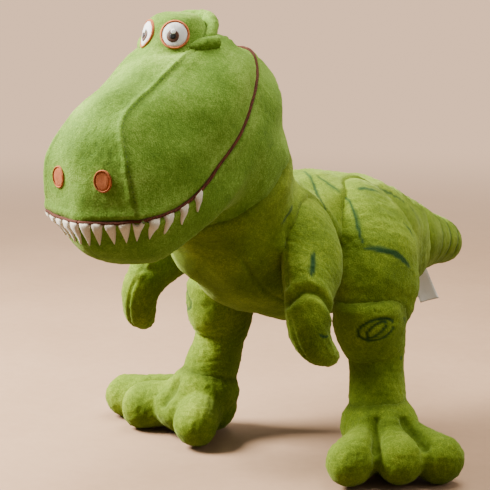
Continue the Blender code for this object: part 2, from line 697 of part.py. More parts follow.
def care_label(mats):
    """Fabric tag sewn into the seam under the root of the tail."""
    rows = [((0.0040, 0.1730, 0.1130), (0.0165, 0.1830, 0.1155)),
            ((0.0075, 0.1760, 0.1010), (0.0200, 0.1860, 0.1030)),
            ((0.0130, 0.1800, 0.0890), (0.0255, 0.1900, 0.0910))]
    verts, faces = [], []
    for row in rows:
        for p in row:
            verts.append(p)
            verts.append((p[0] + 0.0005, p[1] - 0.0006, p[2]))
    for k in range(2):
        i = k * 4
        faces += [(i, i + 2, i + 6, i + 4), (i + 1, i + 5, i + 7, i + 3),
                  (i, i + 4, i + 5, i + 1), (i + 2, i + 3, i + 7, i + 6)]
    faces += [(0, 1, 3, 2), (8, 10, 11, 9)]
    add_mesh("care_label", verts, faces, mats["white"])


def set_origins():
    """Put each moving piece's origin on the axis it turns about."""
    turning = {"arm_": (ARM_SIDE, *SHOULDER), "leg_": (LEG_SIDE, *HIP), "foot_": (LEG_SIDE, *HIP)}
    on_head = ("head_", "cheek_", "jaw_", "mouth_", "teeth_", "eye_", "iris_", "nostril_", "brow_")
    for obj in bpy.data.objects:
        pivot = None
        if obj.name.startswith(on_head):
            pivot = Vector(NECK_PIVOT)
        elif obj.name.startswith(("tail_", "care_label")):
            pivot = Vector(TAIL_PIVOT)
        for prefix, (x, y, z) in turning.items():
            if obj.name.startswith(prefix):
                pivot = Vector((x if obj.name.endswith("left") else -x, y, z))
        if pivot is None:
            obj.data.transform(Matrix.Translation(-Vector(MIDDLE)))
        else:
            obj.data.transform(Matrix.Translation(-pivot))
            obj.location = pivot - Vector(MIDDLE)


def main():
    mats = {
        "green": material("plush_green", GREEN),
        "pale": material("plush_light_green", PALE),
        "dark": material("plush_shade_green", DARK),
        "stuffing": material("polyester_stuffing", STUFFING),
        "brown": material("brown_thread", BROWN, 0.7),
        "rust": material("rust_felt", RUST),
        "cream": material("cream_felt", CREAM),
        "white": material("white_satin", WHITE, 0.6),
    }
    head = head_parts(mats)
    face_details(head, mats)
    trunk_parts(mats)
    tail_parts(mats)
    for sign, side in ((1, "left"), (-1, "right")):
        arm_parts(sign, side, mats)
        leg_parts(sign, side, mats)
        foot_parts(sign, side, mats)
    care_label(mats)
    set_origins()


main()
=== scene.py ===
"""Stuffed dinosaur: sewn plush skins, felt teeth, embroidered eyes, care label."""
import json
import math

import bpy
import bmesh
import numpy as np
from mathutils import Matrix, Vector
from mathutils.bvhtree import BVHTree

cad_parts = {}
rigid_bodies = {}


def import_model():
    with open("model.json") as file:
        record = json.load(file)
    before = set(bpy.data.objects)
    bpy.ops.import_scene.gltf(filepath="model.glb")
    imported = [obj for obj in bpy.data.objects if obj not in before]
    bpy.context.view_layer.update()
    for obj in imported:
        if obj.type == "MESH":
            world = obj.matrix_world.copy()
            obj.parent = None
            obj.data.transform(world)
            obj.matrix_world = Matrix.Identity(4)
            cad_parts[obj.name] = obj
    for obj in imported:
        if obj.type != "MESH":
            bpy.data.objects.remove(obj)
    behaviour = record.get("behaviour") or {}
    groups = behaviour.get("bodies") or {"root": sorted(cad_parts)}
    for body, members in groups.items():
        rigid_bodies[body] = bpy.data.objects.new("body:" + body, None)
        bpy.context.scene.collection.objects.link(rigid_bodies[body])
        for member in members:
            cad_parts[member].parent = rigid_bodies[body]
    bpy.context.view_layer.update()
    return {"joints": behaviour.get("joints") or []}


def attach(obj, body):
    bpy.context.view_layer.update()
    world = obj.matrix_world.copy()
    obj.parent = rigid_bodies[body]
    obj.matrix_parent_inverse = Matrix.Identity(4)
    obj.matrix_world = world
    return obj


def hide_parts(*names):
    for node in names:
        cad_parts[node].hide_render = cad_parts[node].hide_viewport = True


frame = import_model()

# ---- where things are
# Shapes are drawn with the neck pivot at NECK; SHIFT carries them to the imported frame.
NECK = np.array((0.0, -0.105, 0.240))
TAIL = np.array((0.0, 0.160, 0.147))
PLACES = {j["name"]: np.array(j["pos_m"]) for j in frame["joints"]}
SHIFT = PLACES["neck_nod"] - NECK

FLIP = np.array((-1.0, 1.0, 1.0))
SIDES = ((1, "left"), (-1, "right"))

NAPE = (0, -0.0820, 0.322)
LIP = (0.0410, -0.2325, 0.2145)      # corner of the snout
CROWN = ((0, -0.2445, 0.2120), (0, -0.2450, 0.240), (0, -0.2400, 0.270), (0, -0.2220, 0.2895),
         (0, -0.1950, 0.3035), (0, -0.1600, 0.320), (0, -0.1200, 0.331), NAPE)
SEAM = (LIP, (0.0385, -0.2365, 0.236), (0.0350, -0.2360, 0.255),
        (0.0245, -0.2260, 0.278), (0.0225, -0.1900, 0.299), (0.0250, -0.1600, 0.317),
        (0.0270, -0.1200, 0.327), NAPE)
CHEEK = (LIP, (0.0455, -0.2130, 0.245), (0.0510, -0.1850, 0.267),
         (0.0545, -0.1580, 0.290), (0.0450, -0.1200, 0.313), NAPE)
MOUTH = (LIP, (0.0470, -0.2150, 0.2165), (0.0520, -0.1930, 0.2250),
         (0.0565, -0.1700, 0.2430), (0.0572, -0.1420, 0.2680), (0.0510, -0.1180, 0.2960),
         (0.0350, -0.1000, 0.3160), NAPE)
JOWL = (LIP, (0.0440, -0.2080, 0.2060), (0.0530, -0.1680, 0.2120),
        (0.0570, -0.1250, 0.2340), (0.0530, -0.0920, 0.2720), (0.0330, -0.0750, 0.3020),
        NAPE)
CHIN_SIDE = ((0.0210, -0.2410, 0.2130), (0.0290, -0.2130, 0.1880), (0.0340, -0.1750, 0.1840),
             (0.0400, -0.1300, 0.1900), (0.0440, -0.0830, 0.2120), (0.0420, -0.0620, 0.2550),
             (0.0250, -0.0600, 0.2930), NAPE)
CHIN = ((0, -0.2445, 0.2120), (0, -0.2340, 0.1920), (0, -0.2000, 0.1780), (0, -0.1500, 0.1830),
        (0, -0.1000, 0.1850), (0, -0.0600, 0.2100), (0, -0.0490, 0.2500), (0, -0.0560, 0.2920),
        NAPE)
NECK_AXIS = np.array((0.0, 0.655, -0.755))
NECK_BALL = 0.0570

# y, z, half width, height above, depth below
TRUNK = ((-0.1010, 0.2350, 0.0300, 0.0300, 0.0300), (-0.0990, 0.2325, 0.0475, 0.0475, 0.0500),
         (-0.0932, 0.2254, 0.0538, 0.0526, 0.0566), (-0.0830, 0.2110, 0.0506, 0.0515, 0.0562),
         (-0.0700, 0.1950, 0.0466, 0.0490, 0.0570), (-0.0540, 0.1820, 0.0460, 0.0470, 0.0580),
         (-0.0220, 0.1680, 0.0470, 0.0520, 0.0570), (0.0200, 0.1620, 0.0560, 0.0570, 0.0560),
         (0.0650, 0.1570, 0.0585, 0.0560, 0.0530), (0.1050, 0.1520, 0.0550, 0.0510, 0.0460),
         (0.1400, 0.1480, 0.0440, 0.0425, 0.0395), (0.1540, 0.1470, 0.0365, 0.0365, 0.0350),
         (0.1570, 0.1465, 0.0300, 0.0300, 0.0290), (0.1575, 0.1465, 0.0100, 0.0100, 0.0100))
# y, z, radius
TAIL_ROWS = ((0.1250, 0.1480, 0.0020), (0.1270, 0.1480, 0.0120), (0.1350, 0.1475, 0.0245),
             (0.1480, 0.1470, 0.0325), (0.1650, 0.1465, 0.0345), (0.1880, 0.1430, 0.0285),
             (0.2150, 0.1380, 0.0230), (0.2400, 0.1330, 0.0190), (0.2540, 0.1310, 0.0130),
             (0.2595, 0.1302, 0.0065), (0.2612, 0.1300, 0.0012))
# left limbs: x, y, z, half width across, half width fore and aft
ARM = ((0.0300, -0.0300, 0.2000, 0.0030, 0.0040), (0.0330, -0.0340, 0.1960, 0.0100, 0.0140),
       (0.0440, -0.0430, 0.1850, 0.0165, 0.0230), (0.0565, -0.0560, 0.1690, 0.0185, 0.0252),
       (0.0637, -0.0695, 0.1530, 0.0180, 0.0225), (0.0700, -0.0820, 0.1380, 0.0158, 0.0170),
       (0.0740, -0.0875, 0.1250, 0.0146, 0.0150), (0.0780, -0.0830, 0.1110, 0.0125, 0.0138),
       (0.0812, -0.0720, 0.1015, 0.0085, 0.0095), (0.0826, -0.0640, 0.0985, 0.0040, 0.0045),
       (0.0830, -0.0615, 0.0978, 0.0006, 0.0008))
SHOULDER = (-0.050, 0.172)
ARM_TURN = math.radians(8.0)
ARM_RISE = 0.004
# the right leg's knee is set back, most of all half way between these heights
RIGHT_LEG_LEAN = 0.20
LEAN_BETWEEN = (0.070, 0.185)
THIGH = ((0.0300, 0.0400, 0.2040, 0.0030, 0.0050), (0.0340, 0.0380, 0.2000, 0.0120, 0.0150),
         (0.0470, 0.0320, 0.1880, 0.0210, 0.0270), (0.0620, 0.0225, 0.1700, 0.0265, 0.0335),
         (0.0715, 0.0110, 0.1480, 0.0272, 0.0370), (0.0725, 0.0060, 0.1300, 0.0255, 0.0350),
         (0.0730, 0.0070, 0.1160, 0.0235, 0.0315), (0.0735, 0.0090, 0.1040, 0.0160, 0.0230),
         (0.0735, 0.0095, 0.0990, 0.0080, 0.0120), (0.0735, 0.0095, 0.0985, 0.0010, 0.0015))
SHANK = ((0.0725, -0.0030, 0.1345, 0.0030, 0.0040), (0.0725, -0.0030, 0.1338, 0.0150, 0.0170),
         (0.0726, -0.0030, 0.1295, 0.0242, 0.0275), (0.0728, -0.0025, 0.1190, 0.0270, 0.0305),
         (0.0732, -0.0005, 0.1065, 0.0262, 0.0297), (0.0734, 0.0035, 0.0960, 0.0236, 0.0265),
         (0.0738, 0.0060, 0.0870, 0.0212, 0.0232), (0.0752, 0.0052, 0.0740, 0.0206, 0.0222),
         (0.0800, 0.0010, 0.0500, 0.0212, 0.0235), (0.0815, 0.0000, 0.0400, 0.0205, 0.0225),
         (0.0820, 0.0000, 0.0330, 0.0100, 0.0110), (0.0820, 0.0000, 0.0325, 0.0010, 0.0010))
ANKLE = np.array((0.0800, 0.0010, 0.0300))
TOES = {"left": ((0.0905, -0.0550, 0.0195), (0.1180, -0.0310, 0.0200), (0.1385, -0.0080, 0.0190)),
        "right": ((0.0620, -0.0430, 0.0190), (0.1300, -0.0260, 0.0190), (0.1650, -0.0040, 0.0180))}
TOE_RADIUS = 0.0168
# from the ankle: offset, radii
FOOT_BALLS = (((0.004, -0.005, 0.004), (0.0300, 0.0300, 0.0240)),
              ((0.002, 0.000, -0.009), (0.0235, 0.0235, 0.0205)),
              ((0.012, -0.016, -0.008), (0.0270, 0.0270, 0.0200)))
FOOT_VOXEL = 0.0016
SOLE_SOFT, SOLE_PRESS = 0.014, 0.0012

EYE_DOME = np.array((0.0, -0.1415))
EYE_DOME_RADIUS = 0.0231
EYE_DOME_FOOT, EYE_DOME_TOP = 0.3220, 0.3452
EYE_DOME_BLEND = 0.0045
EYE_YAW = math.radians(35.0)
EYE_CENTRE = (0.0132, -0.1600, 0.3304)
EYE_RADIUS = 0.0099
IRIS_RADIUS, PUPIL_RADIUS, GLINT_RADIUS = 0.0043, 0.0021, 0.0017
NOSTRIL = (0.0190, -0.2400, 0.2398)
NOSTRIL_RADIUS = 0.0074
# round the eye: angle from sideways, distance from the dome's middle, height, half thickness
BROW_ROWS = ((100, 0.0235, 0.3385, 0.0034), (88, 0.0240, 0.3412, 0.0042), (66, 0.0243, 0.3400, 0.0046),
             (44, 0.0246, 0.3365, 0.0047), (24, 0.0248, 0.3318, 0.0045), (6, 0.0250, 0.3265, 0.0040),
             (-8, 0.0250, 0.3215, 0.0030))
# x, y, z, half thickness
BROW_TAB = ((0.0190, -0.1530, 0.3190, 0.0036), (0.0225, -0.1495, 0.3210, 0.0046),
            (0.0270, -0.1430, 0.3235, 0.0048), (0.0300, -0.1340, 0.3250, 0.0042))
# distances along the mouth line from the middle of the snout
TEETH_AT = (0.0045, 0.0135, 0.0227, 0.0327, 0.0430, 0.0548, 0.0671, 0.0804, 0.0942)
TOOTH_HALF_WIDTH, TOOTH_LENGTH, TOOTH_SHRINK = 0.0046, 0.0150, 0.0003
TAIL_SOCKET = 0.0350
SHOULDER_FOLD = ((0.0440, -0.080, 0.205), (0.0470, -0.078, 0.185), (0.0460, -0.072, 0.160))
ELBOW_FOLD = ((0.0610, -0.0960, 0.1390), (0.0671, -0.0974, 0.1434), (0.0742, -0.0930, 0.1500),
              (0.0815, -0.0861, 0.1476), (0.0855, -0.0780, 0.1370), (0.0840, -0.0700, 0.1290))

# dyed stripes on the left half: path, half width
FLANK_STRIPES = (
    (((0.0038, 0.0096, 0.2201), (0.0229, -0.0036, 0.2136), (0.0393, -0.0162, 0.2050),
      (0.0488, -0.0224, 0.1945), (0.0520, -0.0240, 0.1830)), 0.0014),
    (((0.0187, 0.0067, 0.2199), (0.0359, 0.0041, 0.2131), (0.0440, 0.0030, 0.2080)), 0.0013),
    (((0.0310, 0.0520, 0.2090), (0.0361, 0.0713, 0.2010), (0.0405, 0.0873, 0.1948),
      (0.0455, 0.0947, 0.1886)), 0.0018),
    (((0.0450, 0.0990, 0.1840), (0.0470, 0.1060, 0.1760), (0.0480, 0.1110, 0.1670)), 0.0016),
    (((0.0488, -0.0712, 0.2085), (0.0500, -0.0767, 0.2020), (0.0502, -0.0858, 0.1960)), 0.0013))
THIGH_STRIPES = (
    (((0.0440, 0.0035, 0.2080), (0.0500, 0.0020, 0.2030), (0.0597, -0.0048, 0.1948),
      (0.0679, -0.0121, 0.1836), (0.0743, -0.0152, 0.1742)), 0.0014),
    (((0.0757, -0.0160, 0.1714), (0.0850, -0.0086, 0.1699), (0.0922, 0.0011, 0.1662),
      (0.0954, 0.0075, 0.1611), (0.0975, 0.0144, 0.1542)), 0.0026),
    (((0.0480, 0.0160, 0.2115), (0.0516, 0.0220, 0.2108), (0.0593, 0.0328, 0.2072)), 0.0017),
    (((0.0829, 0.0294, 0.1842), (0.0861, 0.0317, 0.1796), (0.0899, 0.0312, 0.1739)), 0.0015))
ARM_STRIPES = (
    (((0.0689, -0.0726, 0.1751), (0.0727, -0.0794, 0.1678), (0.0755, -0.0862, 0.1606)), 0.0025),
    (((0.0868, -0.0938, 0.1217), (0.0885, -0.0890, 0.1190), (0.0887, -0.0839, 0.1185)), 0.0011))
SHANK_STRIPES = ((((0.0978, 0.0045, 0.1180), (0.0987, 0.0085, 0.1120)), 0.0015),
                 (((0.0953, 0.0062, 0.0872), (0.0953, 0.0082, 0.0838)), 0.0013))
# the oval drawn on each knee cap
KNEE = np.array((0.0890, -0.0190, 0.1125))
KNEE_HALF_WIDTH, KNEE_HALF_HEIGHT, KNEE_LINE = 0.0135, 0.0078, 0.0011
KNEE_OUT = np.array((0.55, -0.83, 0.0))

# seams and folds: depth, width, how far the padding stands up beside, strength of the painted shade in the
# groove
TOP_SEAM = (0.0010, 0.0010, 0.45, 0.28)
MOUTH_SEAM = (0.0016, 0.0016, 0.50, 0.80)
CHIN_SEAM = (0.0008, 0.0010, 0.35, 0.22)
BELLY_SEAM = (0.0010, 0.0011, 0.40, 0.22)
BACK_SEAM = (0.0007, 0.0011, 0.35, 0.15)
LIMB_SEAM = (0.0007, 0.0010, 0.40, 0.20)
LOOSE_CLOTH = (0.0015, 0.0030, 0.60, 0.25)
BENT_ELBOW = (0.0024, 0.0026, 0.70, 0.55)
KNEE_STITCHING = (0.0007, 0.0012, 0.30, 0.30)
TOE_VALLEY = (0.0042, 0.0040, 0.30, 0.45)
# tail bands: width, how far the padding stands up beside, strength of the painted shade in the groove
TAIL_BAND = (0.0022, 0.50, 0.25)            # each band has its own depth
STRIPE_EDGE = 0.0009
SETTLE_FADE = 0.012                         # height over which the swelling sets in
CONTACT_SHADE = 0.0022
PATCH_ROOT = -0.0006                        # embroidery is tucked this far into the cloth below
PIPING_STEPS = 170
PIPING_RADIUS, PIPING_GROWTH = 0.00125, 0.0005
LABEL_CORNERS = ((0.0040, 0.1730, 0.1140), (0.0165, 0.1830, 0.1190),
                 (0.0130, 0.1800, 0.0885), (0.0255, 0.1900, 0.0925))


# ---- drawing helpers
def on_side(path, sign):
    """A path drawn for the left side, or its mirror image on the right."""
    return np.array(path, float) * (sign, 1, 1)


def unit(vector):
    return np.array(vector, float) / np.linalg.norm(vector)


def turns(count):
    """Equal angles once round."""
    return np.linspace(0, 2 * math.pi, count, endpoint=False)


def tangents(path):
    ahead = np.gradient(path, axis=0)
    return ahead / np.linalg.norm(ahead, axis=1)[:, None]


def travel(path):
    """How far along the path each of its points is."""
    return np.concatenate([[0.0], np.cumsum(np.linalg.norm(np.diff(path, axis=0), axis=1))])


def placed(name, data):
    obj = bpy.data.objects.new(name, data)
    bpy.context.scene.collection.objects.link(obj)
    return obj


def curve(stops, params, even=False):
    """Smooth curve through the stops at 0..1 fractions of its length."""
    pts = np.array(stops, float)
    steps = np.ones(len(pts) - 1) if even else np.linalg.norm(np.diff(pts[:, :3], axis=0), axis=1)
    knots = np.concatenate([[0.0], np.cumsum(steps)])
    knots /= knots[-1]
    slopes = np.zeros_like(pts)
    slopes[1:-1] = (pts[2:] - pts[:-2]) / (knots[2:] - knots[:-2])[:, None]
    slopes[0] = (pts[1] - pts[0]) / (knots[1] - knots[0])
    slopes[-1] = (pts[-1] - pts[-2]) / (knots[-1] - knots[-2])
    params = np.asarray(params, float)
    k = np.clip(np.searchsorted(knots, params, side="right") - 1, 0, len(knots) - 2)
    h = (knots[k + 1] - knots[k])[:, None]
    q = (params[:, None] - knots[k][:, None]) / h
    return ((2 * q**3 - 3 * q**2 + 1) * pts[k] + (q**3 - 2 * q**2 + q) * h * slopes[k]
            + (3 * q**2 - 2 * q**3) * pts[k + 1] + (q**3 - q**2) * h * slopes[k + 1])


def loft(rings):
    """Vertices and faces of equal rings joined in order, both ends closed."""
    n = len(rings[0])
    verts = [p for ring in rings for p in ring]
    faces = []
    for i in range(len(rings) - 1):
        for j in range(n):
            a, b = i * n + j, i * n + (j + 1) % n
            faces.append((a, b, b + n, a + n))
    for start in (0, (len(rings) - 1) * n):
        verts.append(np.mean(verts[start:start + n], axis=0))
        centre = len(verts) - 1
        for j in range(n):
            faces.append((centre, start + j, start + (j + 1) % n))
    return np.array(verts), faces


def slab(rows, cols):
    """Faces of a thin sheet of rows by cols points, front then back, closed round its rim."""
    n = rows * cols
    faces = []
    for r in range(rows - 1):
        for c in range(cols - 1):
            a = r * cols + c
            faces.append((a, a + 1, a + cols + 1, a + cols))
            faces.append((a + n, a + cols + n, a + cols + 1 + n, a + 1 + n))
    rim = (list(range(cols)) + [r * cols + cols - 1 for r in range(1, rows)]
           + [(rows - 1) * cols + c for c in range(cols - 2, -1, -1)]
           + [r * cols for r in range(rows - 2, 0, -1)])
    return faces + [(b, a, a + n, b + n) for a, b in zip(rim, rim[1:] + rim[:1])]


def make(name, verts, faces, mat):
    """A closed, welded, smooth-shaded mesh drawn in the pattern's frame."""
    mesh = bpy.data.meshes.new(name)
    bm = bmesh.new()
    made = [bm.verts.new(tuple(float(c) for c in v + SHIFT)) for v in np.asarray(verts)]
    for face in faces:
        bm.faces.new([made[i] for i in face])
    bmesh.ops.remove_doubles(bm, verts=bm.verts, dist=0.00002)
    bmesh.ops.recalc_face_normals(bm, faces=bm.faces)
    if bm.calc_volume(signed=True) < 0:
        bmesh.ops.reverse_faces(bm, faces=bm.faces)
    for face in bm.faces:
        face.smooth = True
    bm.to_mesh(mesh)
    bm.free()
    mesh.materials.append(mat)
    return placed(name, mesh)


def points(obj):
    co = np.empty(len(obj.data.vertices) * 3)
    obj.data.vertices.foreach_get("co", co)
    return co.reshape(-1, 3) - SHIFT


def move(obj, co):
    obj.data.vertices.foreach_set("co", (co + SHIFT).ravel())
    obj.data.update()


def normals(obj):
    out = np.empty(len(obj.data.vertices) * 3)
    obj.data.vertices.foreach_get("normal", out)
    return out.reshape(-1, 3)


def layer(obj, name, values):
    """A number for each vertex that the material reads, the larger of old and new."""
    found = obj.data.attributes.get(name)
    if found is None:
        found = obj.data.attributes.new(name, "FLOAT", "POINT")
    else:
        old = np.empty(len(values), np.float32)
        found.data.foreach_get("value", old)
        values = np.maximum(values, old)
    found.data.foreach_set("value", np.asarray(values, np.float32))


def distance(co, path):
    """Distance from each point to a line through the path, and how far along it is, 0..1."""
    path = np.asarray(path, float)
    best = np.full(len(co), 1e9)
    along = np.zeros(len(co))
    for k in range(len(path) - 1):
        a, d = path[k], path[k + 1] - path[k]
        t = np.clip(((co - a) @ d) / max(d @ d, 1e-12), 0, 1)
        dist = np.linalg.norm(co - (a + t[:, None] * d), axis=1)
        near = dist < best
        best[near] = dist[near]
        along[near] = (k + t[near]) / (len(path) - 1)
    return best, along


def carve(obj, path, depth, width, puff, shade_strength):
    """A seam or fold: a groove along the path, darkened with painted shade, with the padding standing up
    beside it.
    """
    co = points(obj)
    dist, along = distance(co, path)
    groove = np.exp(-(dist / width) ** 2)
    rise = np.exp(-((dist - 2.6 * width) / (1.5 * width)) ** 2)
    fade = np.clip(np.minimum(along, 1 - along) * 12 + 0.25, 0, 1)
    move(obj, co + normals(obj) * ((rise * puff - groove) * depth * fade)[:, None])
    # painted shade along the groove, for the plush material to read
    layer(obj, "crease_shade", np.exp(-(dist / (width * 0.9)) ** 2) * shade_strength * fade)


def stripe(obj, path, half_width, taper=True):
    """A dyed stripe along the path, pointed at its ends."""
    co = points(obj)
    path = curve(path, np.linspace(0, 1, 30)) if len(path) > 2 else np.array(path, float)
    tree = tree_of(obj)
    path = np.array([tree.find_nearest(Vector(p))[0] for p in path])
    dist, along = distance(co, path)
    width = half_width * (np.sqrt(np.clip(np.sin(along * math.pi), 0, 1)) * 0.85 + 0.15 if taper else 1.0)
    layer(obj, "mark", np.clip((width - dist) / STRIPE_EDGE + 0.5, 0, 1))


def ripple(co, size, seed, terms=10):
    """Smooth repeatable unevenness with features of about the given size."""
    random = np.random.RandomState(seed)
    total = np.zeros(len(co))
    for _ in range(terms):
        direction = random.normal(size=3)
        direction /= np.linalg.norm(direction)
        rate = 2 * math.pi / (size * random.uniform(0.7, 1.6))
        total += np.sin(co @ direction * rate + random.uniform(0, 6.28))
    return total / math.sqrt(terms / 2)


def relax(obj, rounds, factor=0.5, where=None):
    """Even out a surface by moving points towards the middle of their neighbours."""
    edges = np.empty(len(obj.data.edges) * 2, np.int64)
    obj.data.edges.foreach_get("vertices", edges)
    edges = edges.reshape(-1, 2)
    co = points(obj)
    count = np.bincount(edges.ravel(), minlength=len(co))
    weight = np.full(len(co), factor) if where is None else factor * where
    for _ in range(rounds):
        total = np.zeros_like(co)
        for c in range(3):
            total[:, c] = (np.bincount(edges[:, 0], co[edges[:, 1], c], len(co))
                           + np.bincount(edges[:, 1], co[edges[:, 0], c], len(co)))
        co = co + (total / count[:, None] - co) * weight[:, None]
    move(obj, co)


def settle(obj, other, reach, low=-1.0):
    """Swell a padded piece where it runs into another, above the height low, so that the two
    meet in a soft hollow. Gives back painted shade for the hollow at each point."""
    co = points(obj)
    lift = np.zeros(len(co))
    shade = np.zeros(len(co))
    tree = tree_of(other)
    for k, p in enumerate(co):
        found, _, _, gap = tree.find_nearest(Vector(p), reach)
        if found is None:
            continue
        share = 1 - gap / reach
        above = min(1.0, max(0.0, (p[2] - low) / SETTLE_FADE))
        lift[k] = reach * 0.25 * share * share * above
        # painted shade where the two pieces nearly touch
        shade[k] = math.exp(-(gap / CONTACT_SHADE) ** 2)
    move(obj, co + normals(obj) * lift[:, None])
    return shade


def pile_surface(obj, seed, lump=0.0006, fuzz=0.00016):
    """Uneven stuffing and the clumping of short pile."""
    co = points(obj)
    lift = ripple(co, 0.034, seed) * lump + ripple(co, 0.0105, seed + 1) * lump * 0.20
    lift += ripple(co, 0.0042, seed + 2, 14) * fuzz
    move(obj, co + normals(obj) * lift[:, None])


def melt(name, balls, voxel, rounds, mat):
    """One padded skin round a set of overlapping ellipsoids."""
    bands, n = 12, 20
    verts, faces = [], []
    for centre, radius in balls:
        start = len(verts)
        for i in range(1, bands):
            for j in range(n):
                a, b = math.pi * i / bands, 2 * math.pi * j / n
                offset = np.array((math.sin(a) * math.cos(b), math.sin(a) * math.sin(b), math.cos(a)))
                verts.append(np.array(centre) + np.array(radius) * offset)
        for i in range(bands - 2):
            for j in range(n):
                p, q = start + i * n + j, start + i * n + (j + 1) % n
                faces.append((p, q, q + n, p + n))
        verts += [np.array(centre) + np.array((0, 0, r)) for r in (radius[2], -radius[2])]
        last = start + (bands - 2) * n
        for j in range(n):
            faces.append((len(verts) - 2, start + (j + 1) % n, start + j))
            faces.append((len(verts) - 1, last + j, last + (j + 1) % n))
    raw = bpy.data.meshes.new(name + "_raw")
    raw.from_pydata([tuple(v + SHIFT) for v in verts], [], faces)
    source = placed(name + "_raw", raw)
    remesh = source.modifiers.new("remesh", "REMESH")
    remesh.mode = "VOXEL"
    remesh.voxel_size = voxel
    graph = bpy.context.evaluated_depsgraph_get()
    mesh = bpy.data.meshes.new_from_object(source.evaluated_get(graph))
    mesh.name = name
    bpy.data.objects.remove(source)
    mesh.materials.clear()
    mesh.materials.append(mat)
    for polygon in mesh.polygons:
        polygon.use_smooth = True
    obj = placed(name, mesh)
    relax(obj, rounds)
    return obj


def tube(name, path, radii, mat, around=10):
    """A round cord along a path, closed at both ends."""
    path = np.asarray(path, float)
    ahead = tangents(path)
    side = np.cross(ahead[0], (0.13, 0.21, 0.97))
    rings = []
    for p, t, r in zip(path, ahead, np.broadcast_to(radii, len(path))):
        side = side - t * (side @ t)
        side /= np.linalg.norm(side)
        up = np.cross(t, side)
        rings.append([p + (side * math.cos(a) + up * math.sin(a)) * r for a in turns(around)])
    return make(name, *loft(rings), mat)


def join(name, parts):
    """Several loose bodies as one piece."""
    bm = bmesh.new()
    for part in parts:
        bm.from_mesh(part.data)
    mesh = bpy.data.meshes.new(name)
    bm.to_mesh(mesh)
    bm.free()
    mesh.materials.append(parts[0].data.materials[0])
    for part in parts:
        bpy.data.objects.remove(part)
    return placed(name, mesh)


def tree_of(obj):
    faces = [tuple(p.vertices) for p in obj.data.polygons]
    return BVHTree.FromPolygons([tuple(p) for p in points(obj)], faces)


def stitches(name, path, surface, mat):
    """Short threads laid end to end along a seam."""
    pitch, length, radius, sink = 0.0034, 0.0018, 0.00018, 0.0002
    path = np.asarray(path, float)
    steps = travel(path)
    parts = []
    for at in np.arange(pitch, steps[-1] - pitch, pitch):
        spots = []
        for s in (at - length / 2, at - length / 4, at, at + length / 4, at + length / 2):
            p = np.array([np.interp(s, steps, path[:, c]) for c in range(3)])
            found, normal, _, _ = surface.find_nearest(Vector(p))
            bow = (1 - (2 * (s - at) / length) ** 2) * radius * 0.9 - sink
            spots.append(np.array(found) + np.array(normal) * bow)
        parts.append(tube("stitch", spots, (radius * 0.5, radius, radius, radius, radius * 0.5), mat, 6))
    return join(name, parts)


# ---- materials
def started(name):
    mat = bpy.data.materials.new(name)
    mat.use_nodes = True
    return mat, mat.node_tree, mat.node_tree.nodes["Principled BSDF"]


def noise_node(tree, coord, scale, detail=2.0, rough=0.55):
    node = tree.nodes.new("ShaderNodeTexNoise")
    node.inputs["Scale"].default_value = scale
    node.inputs["Detail"].default_value = detail
    node.inputs["Roughness"].default_value = rough
    tree.links.new(coord.outputs["Object"], node.inputs["Vector"])
    return node.outputs["Fac"]


def arithmetic(tree, kind, a, b):
    node = tree.nodes.new("ShaderNodeMath")
    node.operation = kind
    for socket, value in zip(node.inputs, (a, b)):
        if isinstance(value, (int, float)):
            socket.default_value = value
        else:
            tree.links.new(value, socket)
    return node.outputs[0]


def summed(tree, *terms):
    """Sum of outputs, each times its share."""
    total = None
    for output, share in terms:
        part = arithmetic(tree, "MULTIPLY", output, share)
        total = part if total is None else arithmetic(tree, "ADD", total, part)
    return total


def mixed(tree, factor, a, b):
    node = tree.nodes.new("ShaderNodeMix")
    node.data_type = "RGBA"
    tree.links.new(factor, node.inputs[0])
    for socket, value in ((node.inputs[6], a), (node.inputs[7], b)):
        if isinstance(value, tuple):
            socket.default_value = (*value, 1.0)
        else:
            tree.links.new(value, socket)
    return node.outputs[2]


def ramp(tree, factor, stops):
    node = tree.nodes.new("ShaderNodeValToRGB")
    tree.links.new(factor, node.inputs[0])
    node.color_ramp.elements[0].position = stops[0][0]
    node.color_ramp.elements[0].color = (*stops[0][1], 1)
    node.color_ramp.elements[1].position = stops[-1][0]
    node.color_ramp.elements[1].color = (*stops[-1][1], 1)
    for place, colour in stops[1:-1]:
        node.color_ramp.elements.new(place).color = (*colour, 1)
    return node.outputs[0]


def bumped(tree, shader, height, strength, distance_m):
    node = tree.nodes.new("ShaderNodeBump")
    node.inputs["Strength"].default_value = strength
    node.inputs["Distance"].default_value = distance_m
    tree.links.new(height, node.inputs["Height"])
    tree.links.new(node.outputs[0], shader.inputs["Normal"])


STRIPE_DYE = (0.010, 0.052, 0.012)
SHEEN = (0.80, 1.0, 0.28, 1.0)
PATCHES, CLUMPS, TUFTS = 30, 330, 1100      # per metre
PILE_RELIEF, FIBRE_RELIEF = 0.0011, 0.0003


